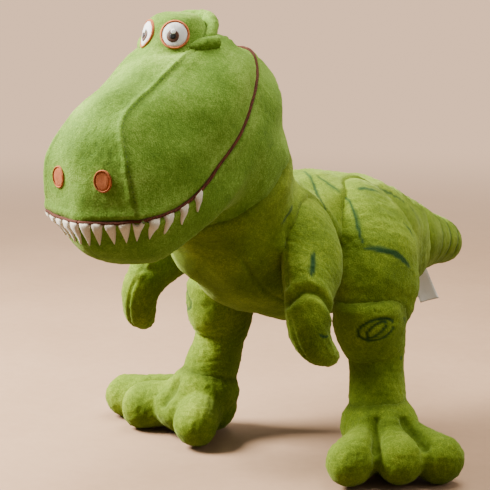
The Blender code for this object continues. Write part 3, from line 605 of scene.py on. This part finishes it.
def plush(name, deep, middle, light):
    """Short velour pile: brushed patches, clumps, single tufts, dyed marks, painted shade in seams, folds and
    joins.
    """
    mat, tree, shader = started(name)
    coord = tree.nodes.new("ShaderNodeTexCoord")
    patches = noise_node(tree, coord, PATCHES, 3)
    clumps = noise_node(tree, coord, CLUMPS, 3, 0.65)
    tufts = noise_node(tree, coord, TUFTS, 2, 0.6)
    tone = summed(tree, (patches, 0.36), (clumps, 0.26), (tufts, 0.38))
    colour = ramp(tree, tone, ((0.34, deep), (0.50, middle), (0.66, light)))
    # painted shade: the deep colour darkened, mixed in over seams, folds and where pieces meet; the dye
    # colours the stripes
    shadow = tuple(c * 0.45 for c in deep)
    for attribute, tint, amount in (("mark", STRIPE_DYE, 0.90), ("crease_shade", shadow, 0.85)):
        node = tree.nodes.new("ShaderNodeAttribute")
        node.attribute_name = attribute
        ragged = arithmetic(tree, "MULTIPLY", node.outputs["Fac"], arithmetic(
            tree, "ADD", arithmetic(tree, "MULTIPLY", tufts, 0.55), amount - 0.20))
        colour = mixed(tree, ragged, colour, tint)
    tree.links.new(colour, shader.inputs["Base Color"])
    rough = arithmetic(tree, "ADD", arithmetic(tree, "MULTIPLY", clumps, 0.20), 0.78)
    tree.links.new(rough, shader.inputs["Roughness"])
    shader.inputs["Specular IOR Level"].default_value = 0.18
    shader.inputs["Sheen Weight"].default_value = 0.30
    shader.inputs["Sheen Roughness"].default_value = 0.38
    shader.inputs["Sheen Tint"].default_value = SHEEN
    bumped(tree, shader, summed(tree, (clumps, 0.55), (tufts, 0.65)), 0.60, PILE_RELIEF)
    return mat


def cloth(name, deep, light, scale, strength, rough=0.85, sheen=0.2, wave=0.0):
    """Felt, thread or ribbon: flecked colour with a fibre or a twisted grain."""
    mat, tree, shader = started(name)
    coord = tree.nodes.new("ShaderNodeTexCoord")
    fibre = noise_node(tree, coord, scale, 4, 0.65)
    blotch = noise_node(tree, coord, 90, 2)
    tone = summed(tree, (fibre, 0.65), (blotch, 0.35))
    height = fibre
    if wave:
        grain = tree.nodes.new("ShaderNodeTexWave")
        grain.inputs["Scale"].default_value = wave
        grain.inputs["Distortion"].default_value = 1.6
        grain.inputs["Detail"].default_value = 2.0
        tree.links.new(coord.outputs["Object"], grain.inputs["Vector"])
        height = summed(tree, (grain.outputs["Fac"], 0.7), (fibre, 0.3))
        tone = summed(tree, (tone, 0.7), (grain.outputs["Fac"], 0.3))
    tree.links.new(ramp(tree, tone, ((0.36, deep), (0.64, light))), shader.inputs["Base Color"])
    tree.links.new(arithmetic(tree, "ADD", arithmetic(tree, "MULTIPLY", fibre, 0.2), rough - 0.1),
                   shader.inputs["Roughness"])
    shader.inputs["Specular IOR Level"].default_value = 0.3
    shader.inputs["Sheen Weight"].default_value = sheen
    bumped(tree, shader, height, strength, FIBRE_RELIEF)
    return mat


# the body copy is darker and more olive than the head copy: partly the cloth's tone, partly painted shade for
# the less lit lower body
HEAD_PLUSH = plush("plush_head", (0.056, 0.130, 0.007), (0.128, 0.250, 0.020), (0.290, 0.450, 0.075))
BODY_PLUSH = plush("plush_body", (0.056, 0.098, 0.003), (0.128, 0.200, 0.008), (0.280, 0.370, 0.030))
PIPING_THREAD = cloth("piping_brown", (0.045, 0.008, 0.002), (0.130, 0.028, 0.006), 2600, 0.6,
                      sheen=0.03, wave=420)
SEAM_THREAD = cloth("seam_thread", (0.010, 0.045, 0.010), (0.030, 0.095, 0.020), 3000, 0.4)
TOOTH_FELT = cloth("tooth_felt", (0.62, 0.52, 0.36), (0.88, 0.80, 0.66), 1500, 0.5, sheen=0.5)
RUST_STITCH = cloth("rust_stitching", (0.33, 0.072, 0.016), (0.60, 0.180, 0.050), 1800, 0.7,
                    sheen=0.05, wave=520)
WHITE_SATIN = cloth("white_satin", (0.80, 0.80, 0.78), (0.95, 0.95, 0.94), 2200, 0.35, 0.45, 0.1, wave=600)
IRIS_SATIN = cloth("iris_satin", (0.040, 0.012, 0.005), (0.160, 0.055, 0.022), 2200, 0.4, 0.5, 0.1, wave=600)
PUPIL_SATIN = cloth("pupil_satin", (0.003, 0.003, 0.003), (0.012, 0.010, 0.010), 2200, 0.4, 0.45, 0.0,
                    wave=600)
RIBBON = cloth("label_ribbon", (0.86, 0.82, 0.74), (0.97, 0.95, 0.90), 2400, 0.5, 0.6, 0.2, wave=900)
FLOOR = cloth("floor", (0.400, 0.248, 0.152), (0.440, 0.278, 0.174), 6, 0.0, 0.7, 0.0)


# ---- head
def into_socket(point):
    """Round the back of the head so that it turns inside the neck."""
    rel = point - NECK
    dist = np.linalg.norm(rel)
    if dist > NECK_BALL:
        weight = np.clip((rel @ NECK_AXIS + 0.018) / 0.020, 0.0, 1.0)
        rel = rel * (1 - weight + weight * NECK_BALL / dist)
    return NECK + rel


def eye_dome(x, y):
    """Height of the raised forehead that carries both eyes, far below it elsewhere."""
    share = (np.hypot(x - EYE_DOME[0], y - EYE_DOME[1]) / EYE_DOME_RADIUS) ** 2.4
    rise = np.sign(1 - share) * np.abs(1 - share) ** 0.35
    return EYE_DOME_FOOT + (EYE_DOME_TOP - EYE_DOME_FOOT) * np.where(share < 1, rise, 1.0 - share * 3)


def head_skin():
    """The whole head as one closed skin, and the lines of its seams on the left side."""
    rungs, top, side, low = 150, 26, 20, 30
    close = 0.00003
    guides = [curve(g, np.linspace(0.0, 1.0, rungs + 1))
              for g in (CROWN, SEAM, CHEEK, MOUTH, JOWL, CHIN_SIDE, CHIN)]
    rings = []
    for i in range(rungs + 1):
        crown, seam, cheek, mouth, jowl, chin_side, chin = [g[i] for g in guides]
        upper = curve((seam * FLIP, crown, seam), np.linspace(0.5, 1.0, top + 1), True)
        middle = curve((seam, cheek, mouth), np.linspace(0.0, 1.0, side + 1), True)
        if i == 0:
            middle = np.repeat(middle[:1], side + 1, axis=0)
            lower = curve((seam * FLIP, crown, seam), np.linspace(1.0, 0.5, low + 1), True)
        else:
            lower = curve((mouth, jowl, chin_side, chin, chin_side * FLIP),
                          np.linspace(0.0, 0.75, low + 1), True)
        half = np.concatenate([upper, middle[1:], lower[1:]])
        if i:
            half = np.array([into_socket(p) for p in half])
        rings.append(list(half) + list((half * FLIP)[-2:0:-1]))
    n = len(rings[0])
    verts = [p for ring in rings for p in ring]
    faces = [(i * n + j, i * n + (j + 1) % n, (i + 1) * n + (j + 1) % n, (i + 1) * n + j)
             for i in range(rungs) for j in range(n)]
    seams = {"top": [rings[i][top] for i in range(rungs - 4)],
             "mouth": [rings[0][j] for j in range(top)] + [rings[i][top + side] for i in range(rungs - 3)],
             "chin": [rings[i][top + side + low] for i in range(rungs - 30)]}
    kept = []
    for face in faces:
        clean = []
        for k in face:
            if not clean or np.linalg.norm(verts[k] - verts[clean[-1]]) > close:
                clean.append(k)
        if len(clean) > 2 and np.linalg.norm(verts[clean[0]] - verts[clean[-1]]) < close:
            clean.pop()
        if len(clean) > 2:
            kept.append(tuple(clean))
    obj = make("head_skin", verts, kept, HEAD_PLUSH)
    co = points(obj)
    up = co[:, 2] > 0.300
    target = eye_dome(co[:, 0], co[:, 1])
    h = np.clip(0.5 + 0.5 * (target - co[:, 2]) / EYE_DOME_BLEND, 0, 1)
    raised = co[:, 2] * (1 - h) + target * h + EYE_DOME_BLEND * h * (1 - h)
    co[:, 2] = np.where(up & (normals(obj)[:, 2] > 0.1), np.maximum(raised, co[:, 2]), co[:, 2])
    move(obj, co)
    beyond = np.maximum(np.hypot(co[:, 0], co[:, 1] - EYE_DOME[1]) - 0.028, 0)
    relax(obj, 10, 0.5, np.exp(-beyond / 0.003) * (co[:, 2] > 0.312))
    seams = {name: np.array(path) for name, path in seams.items()}
    for sign, _ in SIDES:
        carve(obj, on_side(seams["top"], sign), *TOP_SEAM)
        carve(obj, on_side(seams["mouth"], sign), *MOUTH_SEAM)
    carve(obj, seams["chin"][4:], *CHIN_SEAM)
    pile_surface(obj, 3, 0.00032, 0.00006)
    return obj, seams


def brow_ridge(sign, side):
    """The folded plush rolled round the back of each eye."""
    rows = np.array(BROW_ROWS)
    a = np.radians(rows[:, 0])
    rows = curve(np.stack((np.cos(a) * rows[:, 1] * sign, EYE_DOME[1] + np.sin(a) * rows[:, 1],
                           rows[:, 2], rows[:, 3]), axis=1), np.linspace(0, 1, 46))
    ridge = tube("ridge", rows[:, :3], rows[:, 3], HEAD_PLUSH, 22)
    tab = curve(np.array(BROW_TAB) * (sign, 1, 1, 1), np.linspace(0, 1, 30))
    flap = tube("flap", tab[:, :3], tab[:, 3], HEAD_PLUSH, 18)
    for part, seed in ((ridge, 21), (flap, 27)):
        pile_surface(part, seed, 0.0003, 0.00014)
    return join("brow_" + side + "_skin", [ridge, flap])


def patch(name, tree, centre, look, radius, inner, lift, thick, mat, count=56, shape=1.0):
    """A thin embroidered disc or ring lying on the surface, edges rolled over."""
    look = unit(look)
    across = unit(np.cross((0.0, 0.0, 1.0), look))
    up = np.cross(look, across)
    rows = []
    for r in np.linspace(inner, radius, 7):
        edge = min((radius - r), (r - inner) if inner > 0 else 1.0) / max(radius * 0.16, 1e-6)
        rows.append((max(r, 0.00005), lift + thick * math.sqrt(max(0.0, 1 - (1 - min(edge, 1.0)) ** 2))))
    rows.append((rows[-1][0], PATCH_ROOT))
    if inner > 0:
        rows.insert(0, (rows[0][0], PATCH_ROOT))
    rings = []
    for r, h in rows:
        ring = []
        for a in turns(count):
            spot = np.array(centre) + across * math.cos(a) * r * shape + up * math.sin(a) * r
            hit = tree.ray_cast(Vector(spot + look * 0.03), Vector(-look))
            ground = np.array(hit[0]) if hit[0] is not None else spot
            ring.append(ground + look * h)
        rings.append(ring)
    if inner > 0:
        n, m = count, len(rings)
        verts = [p for ring in rings for p in ring]
        faces = [(i * n + j, i * n + (j + 1) % n, (i + 1) % m * n + (j + 1) % n, (i + 1) % m * n + j)
                 for i in range(m) for j in range(n)]
        return make(name, verts, faces, mat)
    return make(name, *loft(rings), mat)


def piping_path(path, tree):
    """The mouth seam, smoothed and lifted onto the surface."""
    path = curve(path[::6], np.linspace(0, 1, PIPING_STEPS))
    laid = []
    for p in path:
        spot, normal, _, _ = tree.find_nearest(Vector(p))
        laid.append(np.array(spot) + np.array(normal) * 0.0004)
    laid = np.array(laid)
    for _ in range(6):
        laid[1:-1] = (laid[:-2] + laid[1:-1] * 2 + laid[2:]) / 4
    return laid


def eye(sign, side, tree):
    """Satin white, stitched rim, iris, pupil and the light in it."""
    look = np.array((sign * math.sin(EYE_YAW), -math.cos(EYE_YAW), 0.12))
    across = np.cross((0.0, 0.0, 1.0), look) / np.linalg.norm(look)
    centre = on_side(EYE_CENTRE, sign)
    pupil_at = centre - across * 0.0012 * sign + np.array((0, 0, -0.0012))
    glint_at = pupil_at + across * 0.0004 + np.array((0, 0, 0.0030))
    white = patch("eye_satin_" + side, tree, centre, look, EYE_RADIUS * 0.90, 0.0,
                  0.0003, 0.0007, WHITE_SATIN)
    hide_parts("eye_white_" + side)
    rim = patch("eye_stitching_" + side, tree, centre, look, EYE_RADIUS * 1.02, EYE_RADIUS * 0.86,
                0.0003, 0.0012, RUST_STITCH, 72)
    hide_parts("eye_rim_" + side)
    iris = patch("iris_satin_" + side, tree, pupil_at, look, IRIS_RADIUS, 0.0, 0.0011, 0.0003, IRIS_SATIN)
    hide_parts("iris_" + side)
    pupil = patch("pupil_" + side, tree, pupil_at, look, PUPIL_RADIUS, 0.0, 0.0014, 0.0003, PUPIL_SATIN, 32)
    glint = patch("glint_" + side, tree, glint_at, look, GLINT_RADIUS, 0.0, 0.0017, 0.0003, WHITE_SATIN, 24)
    return [white, rim, iris, pupil, glint]


def nostril(sign, side, tree):
    """A felt oval with a stitched rim."""
    look, centre = np.array((sign * 0.10, -1.0, 0.06)), on_side(NOSTRIL, sign)
    felt = patch("nostril_felt_" + side, tree, centre, look, NOSTRIL_RADIUS * 0.9, 0.0,
                 -0.0001, 0.0007, RUST_STITCH, 48, shape=0.84)
    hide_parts("nostril_" + side)
    rim = patch("nostril_rim_" + side, tree, centre, look, NOSTRIL_RADIUS, NOSTRIL_RADIUS * 0.82,
                0.0001, 0.0011, RUST_STITCH, 60, shape=0.86)
    return [felt, rim]


def head():
    skin, seams = head_skin()
    tree = tree_of(skin)
    riding = []
    for sign, side in SIDES:
        brow = brow_ridge(sign, side)
        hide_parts("brow_" + side)
        mouth = on_side(seams["mouth"], sign)
        t = np.linspace(0, 1, PIPING_STEPS)
        grow = PIPING_RADIUS + PIPING_GROWTH * np.clip((t - 0.45) / 0.4, 0, 1)
        grow[-8:] *= np.linspace(1, 0.4, 8)
        piping = tube("piping_" + side, piping_path(mouth, tree), grow, PIPING_THREAD, 10)
        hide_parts("mouth_piping_" + side)
        teeth = tooth_row(side, tree, mouth)
        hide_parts("teeth_" + side)
        riding += [brow, piping, teeth] + eye(sign, side, tree) + nostril(sign, side, tree)
        riding.append(stitches("top_seam_stitches_" + side, on_side(seams["top"][6:-30], sign),
                               tree, SEAM_THREAD))
    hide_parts("head_top_panel", "cheek_left", "cheek_right", "jaw_left", "jaw_right", "head_filling")
    for piece in riding:
        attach(piece, "head")
    return skin


def tooth_row(side, tree, path):
    """Pointed felt teeth caught under the mouth piping, lying on the jaw."""
    rows, cols = 9, 7
    steps = travel(path)
    parts = []
    for number, at in enumerate(TEETH_AT):
        length = TOOTH_LENGTH - TOOTH_SHRINK * number
        front, back = [], []
        spots = np.array([[np.interp(at + q * TOOTH_HALF_WIDTH, steps, path[:, c]) for c in range(3)]
                          for q in np.linspace(-1, 1, cols)])
        middle = spots[cols // 2]
        _, normal, _, _ = tree.find_nearest(Vector(middle + np.array((0, 0, -0.006))))
        out = unit((normal[0], normal[1], 0.0))
        for r in range(rows):
            fall = r / (rows - 1)
            width = (1 - fall) ** 0.85 * 0.96 + 0.04
            plump = 0.0013 * (0.55 + 0.45 * math.sin(math.pi * min(1, fall + 0.25)))
            for c in range(cols):
                p = middle + (spots[c] - middle) * width
                p = p + np.array((0, 0, -1.0)) * (length * fall + 0.0004)
                hit = tree.ray_cast(Vector(p + out * 0.03), Vector(-out))
                ground = np.array(hit[0]) if hit[0] is not None else p
                slope = np.array(hit[1]) if hit[0] is not None else out
                q = abs(c / (cols - 1) * 2 - 1)
                belly = plump * math.sqrt(max(0.0, 1 - q**4))
                front.append(ground + slope * (0.0004 + belly))
                back.append(ground - slope * 0.0006)
        parts.append(make("tooth", front + back, slab(rows, cols), TOOTH_FELT))
    return join("tooth_row_" + side, parts)


# ---- trunk and tail
def sagittal(rows, count, around, above=2.0, below=2.0):
    """Sections set square to a line in the middle plane; above and below say how boxy they are."""
    rows = np.array([(0.0, *r) for r in rows])
    s = curve(rows, np.linspace(0, 1, count))
    rings = []
    for row, (ty, tz) in zip(s, tangents(s[:, 1:3])):
        ring = []
        for a in turns(around):
            c, d = math.cos(a), math.sin(a)
            power = 2 / (above if d >= 0 else below)
            x = row[3] * math.copysign(abs(c) ** power, c)
            h = (row[4] if d >= 0 else row[5]) * math.copysign(abs(d) ** power, d)
            ring.append(np.array((x, row[1] - h * tz, row[2] + h * ty)))
        rings.append(ring)
    return rings


def trunk():
    around = 132
    rings = sagittal(TRUNK, 130, around, 2.1, 2.35)
    skin = make("trunk_skin", *loft(rings), BODY_PLUSH)
    relax(skin, 4)
    for share in (0.86, 0.64):
        carve(skin, [ring[round(around * share)] for ring in rings[14:-10]], *BELLY_SEAM)
    carve(skin, [ring[around // 4] for ring in rings[18:-8]], *BACK_SEAM)
    for sign, _ in SIDES:
        carve(skin, on_side(SHOULDER_FOLD, sign), *LOOSE_CLOTH)
        for path, half in FLANK_STRIPES:
            stripe(skin, on_side(path, sign), half)
    pile_surface(skin, 41, 0.0008)
    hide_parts("trunk_side_left", "trunk_side_right", "belly_panel", "trunk_filling")
    return skin


def tail():
    around = 84
    rings = sagittal([(y, z, r, r, r) for y, z, r in TAIL_ROWS], 90, around)
    fixed = []
    for ring in rings:
        out = []
        for p in ring:
            rel = p - TAIL
            dist = np.linalg.norm(rel)
            out.append(TAIL + rel * (TAIL_SOCKET / dist if rel[1] < 0 and dist > TAIL_SOCKET else 1.0))
        fixed.append(out)
    skin = make("tail_skin", *loft(fixed), BODY_PLUSH)
    relax(skin, 3)
    for station, depth in ((44, 0.0007), (58, 0.0006), (70, 0.0005)):
        ring = fixed[station]
        loop = [ring[k % around] for k in range(-22, 66)]
        carve(skin, loop, depth, *TAIL_BAND)
        stripe(skin, loop[8:-8], 0.0017)
    carve(skin, [ring[around * 3 // 4] for ring in fixed[20:-6]], *LIMB_SEAM)
    pile_surface(skin, 53, 0.0005)
    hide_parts("tail_left", "tail_right", "tail_underside", "tail_filling")
    return skin


def care_label():
    """A soft ribbon tag caught in the seam under the root of the tail, curling at its end."""
    wide, long = 9, 18
    half_thick = 0.0002
    top_left, top_right, low_left, low_right = (np.array(c) for c in LABEL_CORNERS)
    face = unit(np.cross(top_right - top_left, low_left - top_left))
    front, back = [], []
    for i in range(long):
        t = i / (long - 1)
        for j in range(wide):
            s = j / (wide - 1)
            p = (top_left * (1 - s) + top_right * s) * (1 - t) + (low_left * (1 - s) + low_right * s) * t
            bow = math.sin(t * math.pi) * 0.0018 + math.sin(s * math.pi) * 0.0012 * t - 0.0010 * t * t
            front.append(p + face * (bow + half_thick))
            back.append(p + face * (bow - half_thick))
    label = make("label_ribbon", front + back, slab(long, wide), RIBBON)
    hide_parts("care_label")
    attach(label, "tail")


# ---- limbs
def limb_rings(rows, count, around, sign):
    """Oval sections set square to a limb's own line."""
    s = curve(rows, np.linspace(0, 1, count))
    aft = np.array((0.0, 1.0, 0.0))
    rings = []
    for row, tangent in zip(s, tangents(s[:, :3])):
        aft = aft - tangent * (aft @ tangent)
        aft /= np.linalg.norm(aft)
        out = np.cross(tangent, aft)
        rings.append([(row[:3] + out * row[3] * math.cos(a) + aft * row[4] * math.sin(a))
                      * np.array((sign, 1, 1)) for a in turns(around)])
    return rings


def swung(co):
    """The right arm hangs a little further forward and higher than the left one."""
    c, d = math.cos(ARM_TURN), math.sin(ARM_TURN)
    y, z = co[:, 1] - SHOULDER[0], co[:, 2] - SHOULDER[1]
    return np.stack((co[:, 0], SHOULDER[0] + y * c + z * d,
                     SHOULDER[1] - y * d + z * c + ARM_RISE), axis=1)


def arm(sign, side):
    around = 72
    rings = limb_rings(ARM, 110, around, sign)
    skin = make("arm_skin_" + side, *loft(rings), BODY_PLUSH)
    relax(skin, 3)
    carve(skin, curve(on_side(ELBOW_FOLD, sign), np.linspace(0, 1, 30)), *BENT_ELBOW)
    for column in (around * 3 // 4, around // 4):
        carve(skin, [ring[column] for ring in rings[12:-8]], *LIMB_SEAM)
    for path, half in ARM_STRIPES:
        stripe(skin, on_side(path, sign), half)
    if sign < 0:
        move(skin, swung(points(skin)))
    pile_surface(skin, 61 + sign, 0.0005)
    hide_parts(*("arm_" + part + "_" + side for part in ("outer", "inner", "filling")))
    return skin


def knee_oval(shank, sign):
    """An oval with a slit in it, laid on the knee cap."""
    along = unit((0.78, 0.55, 0.16))
    up = np.array((0, 0, 1.0))
    out = on_side(KNEE_OUT, sign)
    tree = tree_of(shank)
    for scale, skew in ((1.0, 0.0), (0.55, 0.35)):
        laid = []
        for a in np.linspace(0.3, 2 * math.pi - 0.3, 30):
            rise = math.sin(a) * KNEE_HALF_HEIGHT * scale + math.cos(a) * KNEE_HALF_HEIGHT * skew
            p = on_side(KNEE + along * math.cos(a) * KNEE_HALF_WIDTH * scale + up * rise, sign)
            hit = tree.ray_cast(Vector(p + out * 0.03), Vector(-out))
            if hit[0] is not None:
                laid.append(np.array(hit[0]))
        stripe(shank, laid, KNEE_LINE, False)
        carve(shank, laid, *KNEE_STITCHING)


def leg(sign, side):
    thigh = make("thigh_skin_" + side, *loft(limb_rings(THIGH, 90, 96, sign)), BODY_PLUSH)
    relax(thigh, 4)
    for path, half in THIGH_STRIPES:
        stripe(thigh, on_side(path, sign), half)
    pile_surface(thigh, 71 + sign, 0.0007)
    shank = make("shank_skin_" + side, *loft(limb_rings(SHANK, 110, 84, sign)), BODY_PLUSH)
    relax(shank, 3)
    knee_oval(shank, sign)
    for path, half in SHANK_STRIPES:
        stripe(shank, on_side(path, sign), half)
    if sign < 0:
        for skin in (thigh, shank):
            co = points(skin)
            low, high = LEAN_BETWEEN
            co[:, 1] += RIGHT_LEG_LEAN * np.clip(np.minimum(co[:, 2] - low, high - co[:, 2]), 0, 0.040)
            move(skin, co)
    pile_surface(shank, 81 + sign, 0.0006)
    foot = foot_skin(sign, side)
    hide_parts(*("leg_" + part + "_" + side for part in ("outer", "inner", "filling")))
    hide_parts(*("foot_" + part + "_" + side for part in ("upper", "sole", "filling")))
    return thigh, shank, foot


def foot_skin(sign, side):
    """Instep, heel and ball of the foot melted together with three fat toes."""
    balls = [(on_side(ANKLE + np.array(offset), sign), radii) for offset, radii in FOOT_BALLS]
    root = ANKLE + np.array((0.002, -0.002, -0.004))
    for tip in TOES[side]:
        for t in np.linspace(0.15, 1.0, 9):
            r = TOE_RADIUS * (1.02 + 0.04 * t)
            balls.append((on_side(root + (np.array(tip) - root) * t, sign), (r, r, r * (1.14 - 0.14 * t))))
    foot = melt("foot_skin_" + side, balls, FOOT_VOXEL, 6, BODY_PLUSH)
    tree = tree_of(foot)
    gaps = [(np.array(a) + np.array(b)) / 2 for a, b in zip(TOES[side], TOES[side][1:])]
    for gap in gaps:
        valley = unit((gap - ANKLE) * (1, 1, 0))
        above = [Vector(on_side(ANKLE + valley * reach, sign) + (0, 0, 0.08))
                 for reach in np.linspace(0.030, 0.062, 20)]
        laid = [tree.ray_cast(p, Vector((0, 0, -1)))[0] for p in above]
        carve(foot, np.array([tuple(p) for p in laid if p is not None]), *TOE_VALLEY)
    relax(foot, 2)
    pile_surface(foot, 91 + sign, 0.0005)
    co = points(foot)
    # the sole is pressed flat where it carries the weight
    sunk = co[:, 2].min() + SOLE_PRESS
    co[:, 2] -= np.clip((SOLE_SOFT - co[:, 2]) / SOLE_SOFT, 0, 1) * sunk
    co[:, 2] = np.maximum(co[:, 2], 0.0)
    move(foot, co)
    # painted shade in the clefts between the toes
    spread = np.min([distance(co, on_side((ANKLE, gap), sign))[0] for gap in gaps], axis=0)
    reach = np.hypot(co[:, 0] - ANKLE[0] * sign, co[:, 1] - ANKLE[1])
    layer(foot, "crease_shade", np.exp(-(spread / 0.004) ** 2) * np.clip((reach - 0.024) / 0.012, 0, 1) * 0.5)
    return foot


# ---- the stage
BACKDROP = (0.98, 0.64, 0.42)
BOUNCE = (0.16, 0.11, 0.07)
BACKDROP_LIGHT = 1.3
FADE_FROM, FADE_TO = 0.55, 2.2


def sees(tree):
    """1 for what the camera sees directly, 0 for light on its way round."""
    return tree.nodes.new("ShaderNodeLightPath").outputs["Is Camera Ray"]


def blended(tree, factor, one, two):
    node = tree.nodes.new("ShaderNodeMixShader")
    for output, socket in zip((factor, one, two), node.inputs):
        tree.links.new(output, socket)
    return node.outputs[0]


def stage():
    """Pale floor that fades into an even pale backdrop, soft light from the upper left."""
    mesh = bpy.data.meshes.new("floor")
    size = 60.0
    corners = [(-size, -size, 0), (size, -size, 0), (size, size, 0), (-size, size, 0)]
    mesh.from_pydata(corners, [], [(0, 1, 2, 3)])
    mesh.materials.append(FLOOR)
    floor = placed("floor", mesh)
    floor.location.z = -0.0004
    tree = FLOOR.node_tree
    place = tree.nodes.new("ShaderNodeNewGeometry")
    length = tree.nodes.new("ShaderNodeVectorMath")
    length.operation = "LENGTH"
    tree.links.new(place.outputs["Position"], length.inputs[0])
    fade = tree.nodes.new("ShaderNodeMapRange")
    fade.interpolation_type = "SMOOTHSTEP"
    fade.inputs["From Min"].default_value = FADE_FROM
    fade.inputs["From Max"].default_value = FADE_TO
    tree.links.new(length.outputs["Value"], fade.inputs["Value"])
    glow = tree.nodes.new("ShaderNodeEmission")
    glow.inputs["Color"].default_value = (*BACKDROP, 1.0)
    glow.inputs["Strength"].default_value = BACKDROP_LIGHT
    dim = tree.nodes.new("ShaderNodeBsdfDiffuse")
    dim.inputs["Color"].default_value = (*BOUNCE, 1.0)
    near = blended(tree, sees(tree), dim.outputs[0], tree.nodes["Principled BSDF"].outputs[0])
    far = arithmetic(tree, "MULTIPLY", fade.outputs["Result"], sees(tree))
    tree.links.new(blended(tree, far, near, glow.outputs[0]), tree.nodes["Material Output"].inputs["Surface"])
    world = bpy.data.worlds.new("studio")
    world.use_nodes = True
    sky = world.node_tree
    lit = sky.nodes["Background"]
    lit.inputs[0].default_value = (1.0, 0.95, 0.88, 1.0)
    lit.inputs[1].default_value = 0.20
    seen = sky.nodes.new("ShaderNodeBackground")
    seen.inputs[0].default_value = (*BACKDROP, 1.0)
    seen.inputs[1].default_value = BACKDROP_LIGHT
    either = blended(sky, sees(sky), lit.outputs[0], seen.outputs[0])
    sky.links.new(either, sky.nodes["World Output"].inputs["Surface"])
    bpy.context.scene.world = world
    for name, spot, size, power, colour in (
            ("key", (-0.78, -0.50, 0.90), 0.55, 74.0, (1.0, 0.97, 0.90)),
            ("top", (0.10, 0.25, 1.50), 1.0, 32.0, (1.0, 0.96, 0.88)),
            ("side", (1.1, 0.4, 0.8), 1.0, 7.0, (1.0, 0.93, 0.82))):
        data = bpy.data.lights.new(name, "AREA")
        data.size = size
        data.energy = power
        data.color = colour
        lamp = placed(name, data)
        lamp.location = spot
        aim = Vector((0.0, -0.02, 0.18)) - Vector(spot)
        lamp.rotation_euler = aim.to_track_quat("-Z", "Y").to_euler()
    lens = bpy.data.cameras.new("camera")
    lens.lens = 116.4
    lens.sensor_width = 36.0
    lens.clip_start = 0.05
    camera = placed("camera", lens)
    azimuth, tilt = math.radians(36.0), math.radians(9.8)
    view = Vector((-math.sin(azimuth) * math.cos(tilt), math.cos(azimuth) * math.cos(tilt), -math.sin(tilt)))
    camera.location = Vector((0.682, -1.0, 0.372)) + Vector(SHIFT)
    camera.rotation_mode = "QUATERNION"
    camera.rotation_quaternion = view.to_track_quat("-Z", "Y")
    bpy.context.scene.camera = camera


def body():
    """All the padded skins of the body, fitted to each other and given painted shade where they meet, before
    they are hung on the frame.
    """
    skull = head()
    torso, back = trunk(), tail()
    shades = []
    pieces = [(torso, "trunk", 0.85), (back, "tail", 0.9), (skull, "head", 0.9)]
    for sign, side in SIDES:
        limb = arm(sign, side)
        thigh, shank, foot = leg(sign, side)
        pieces += [(limb, "arm_" + side, 0.8), (thigh, "leg_" + side, 0.85), (shank, "leg_" + side, 0.9),
                   (foot, "leg_" + side, 0.9)]
        # each pair: how far the swelling reaches, the height it starts above, strength of the painted shade
        # where they meet
        for one, two, reach, low, shade_strength in (
                (limb, torso, 0.020, 0.165, 0.35), (thigh, torso, 0.023, 0.165, 0.15),
                (thigh, shank, 0.003, 0.0, 0.5), (shank, foot, 0.003, 0.0, 0.5)):
            shades += [(one, settle(one, two, reach, low) * shade_strength), (two, settle(two, one, reach, low) * shade_strength)]
    # painted shade where the trunk meets the head and the tail
    for one, two in ((torso, skull), (torso, back)):
        shades += [(one, settle(one, two, 0.003) * 0.4), (two, settle(two, one, 0.003) * 0.4)]
    for piece, shade in shades:
        layer(piece, "crease_shade", shade)
    for piece, part, fill in pieces:
        if piece.parent is None:
            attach(piece, part)


stage()
body()
care_label()
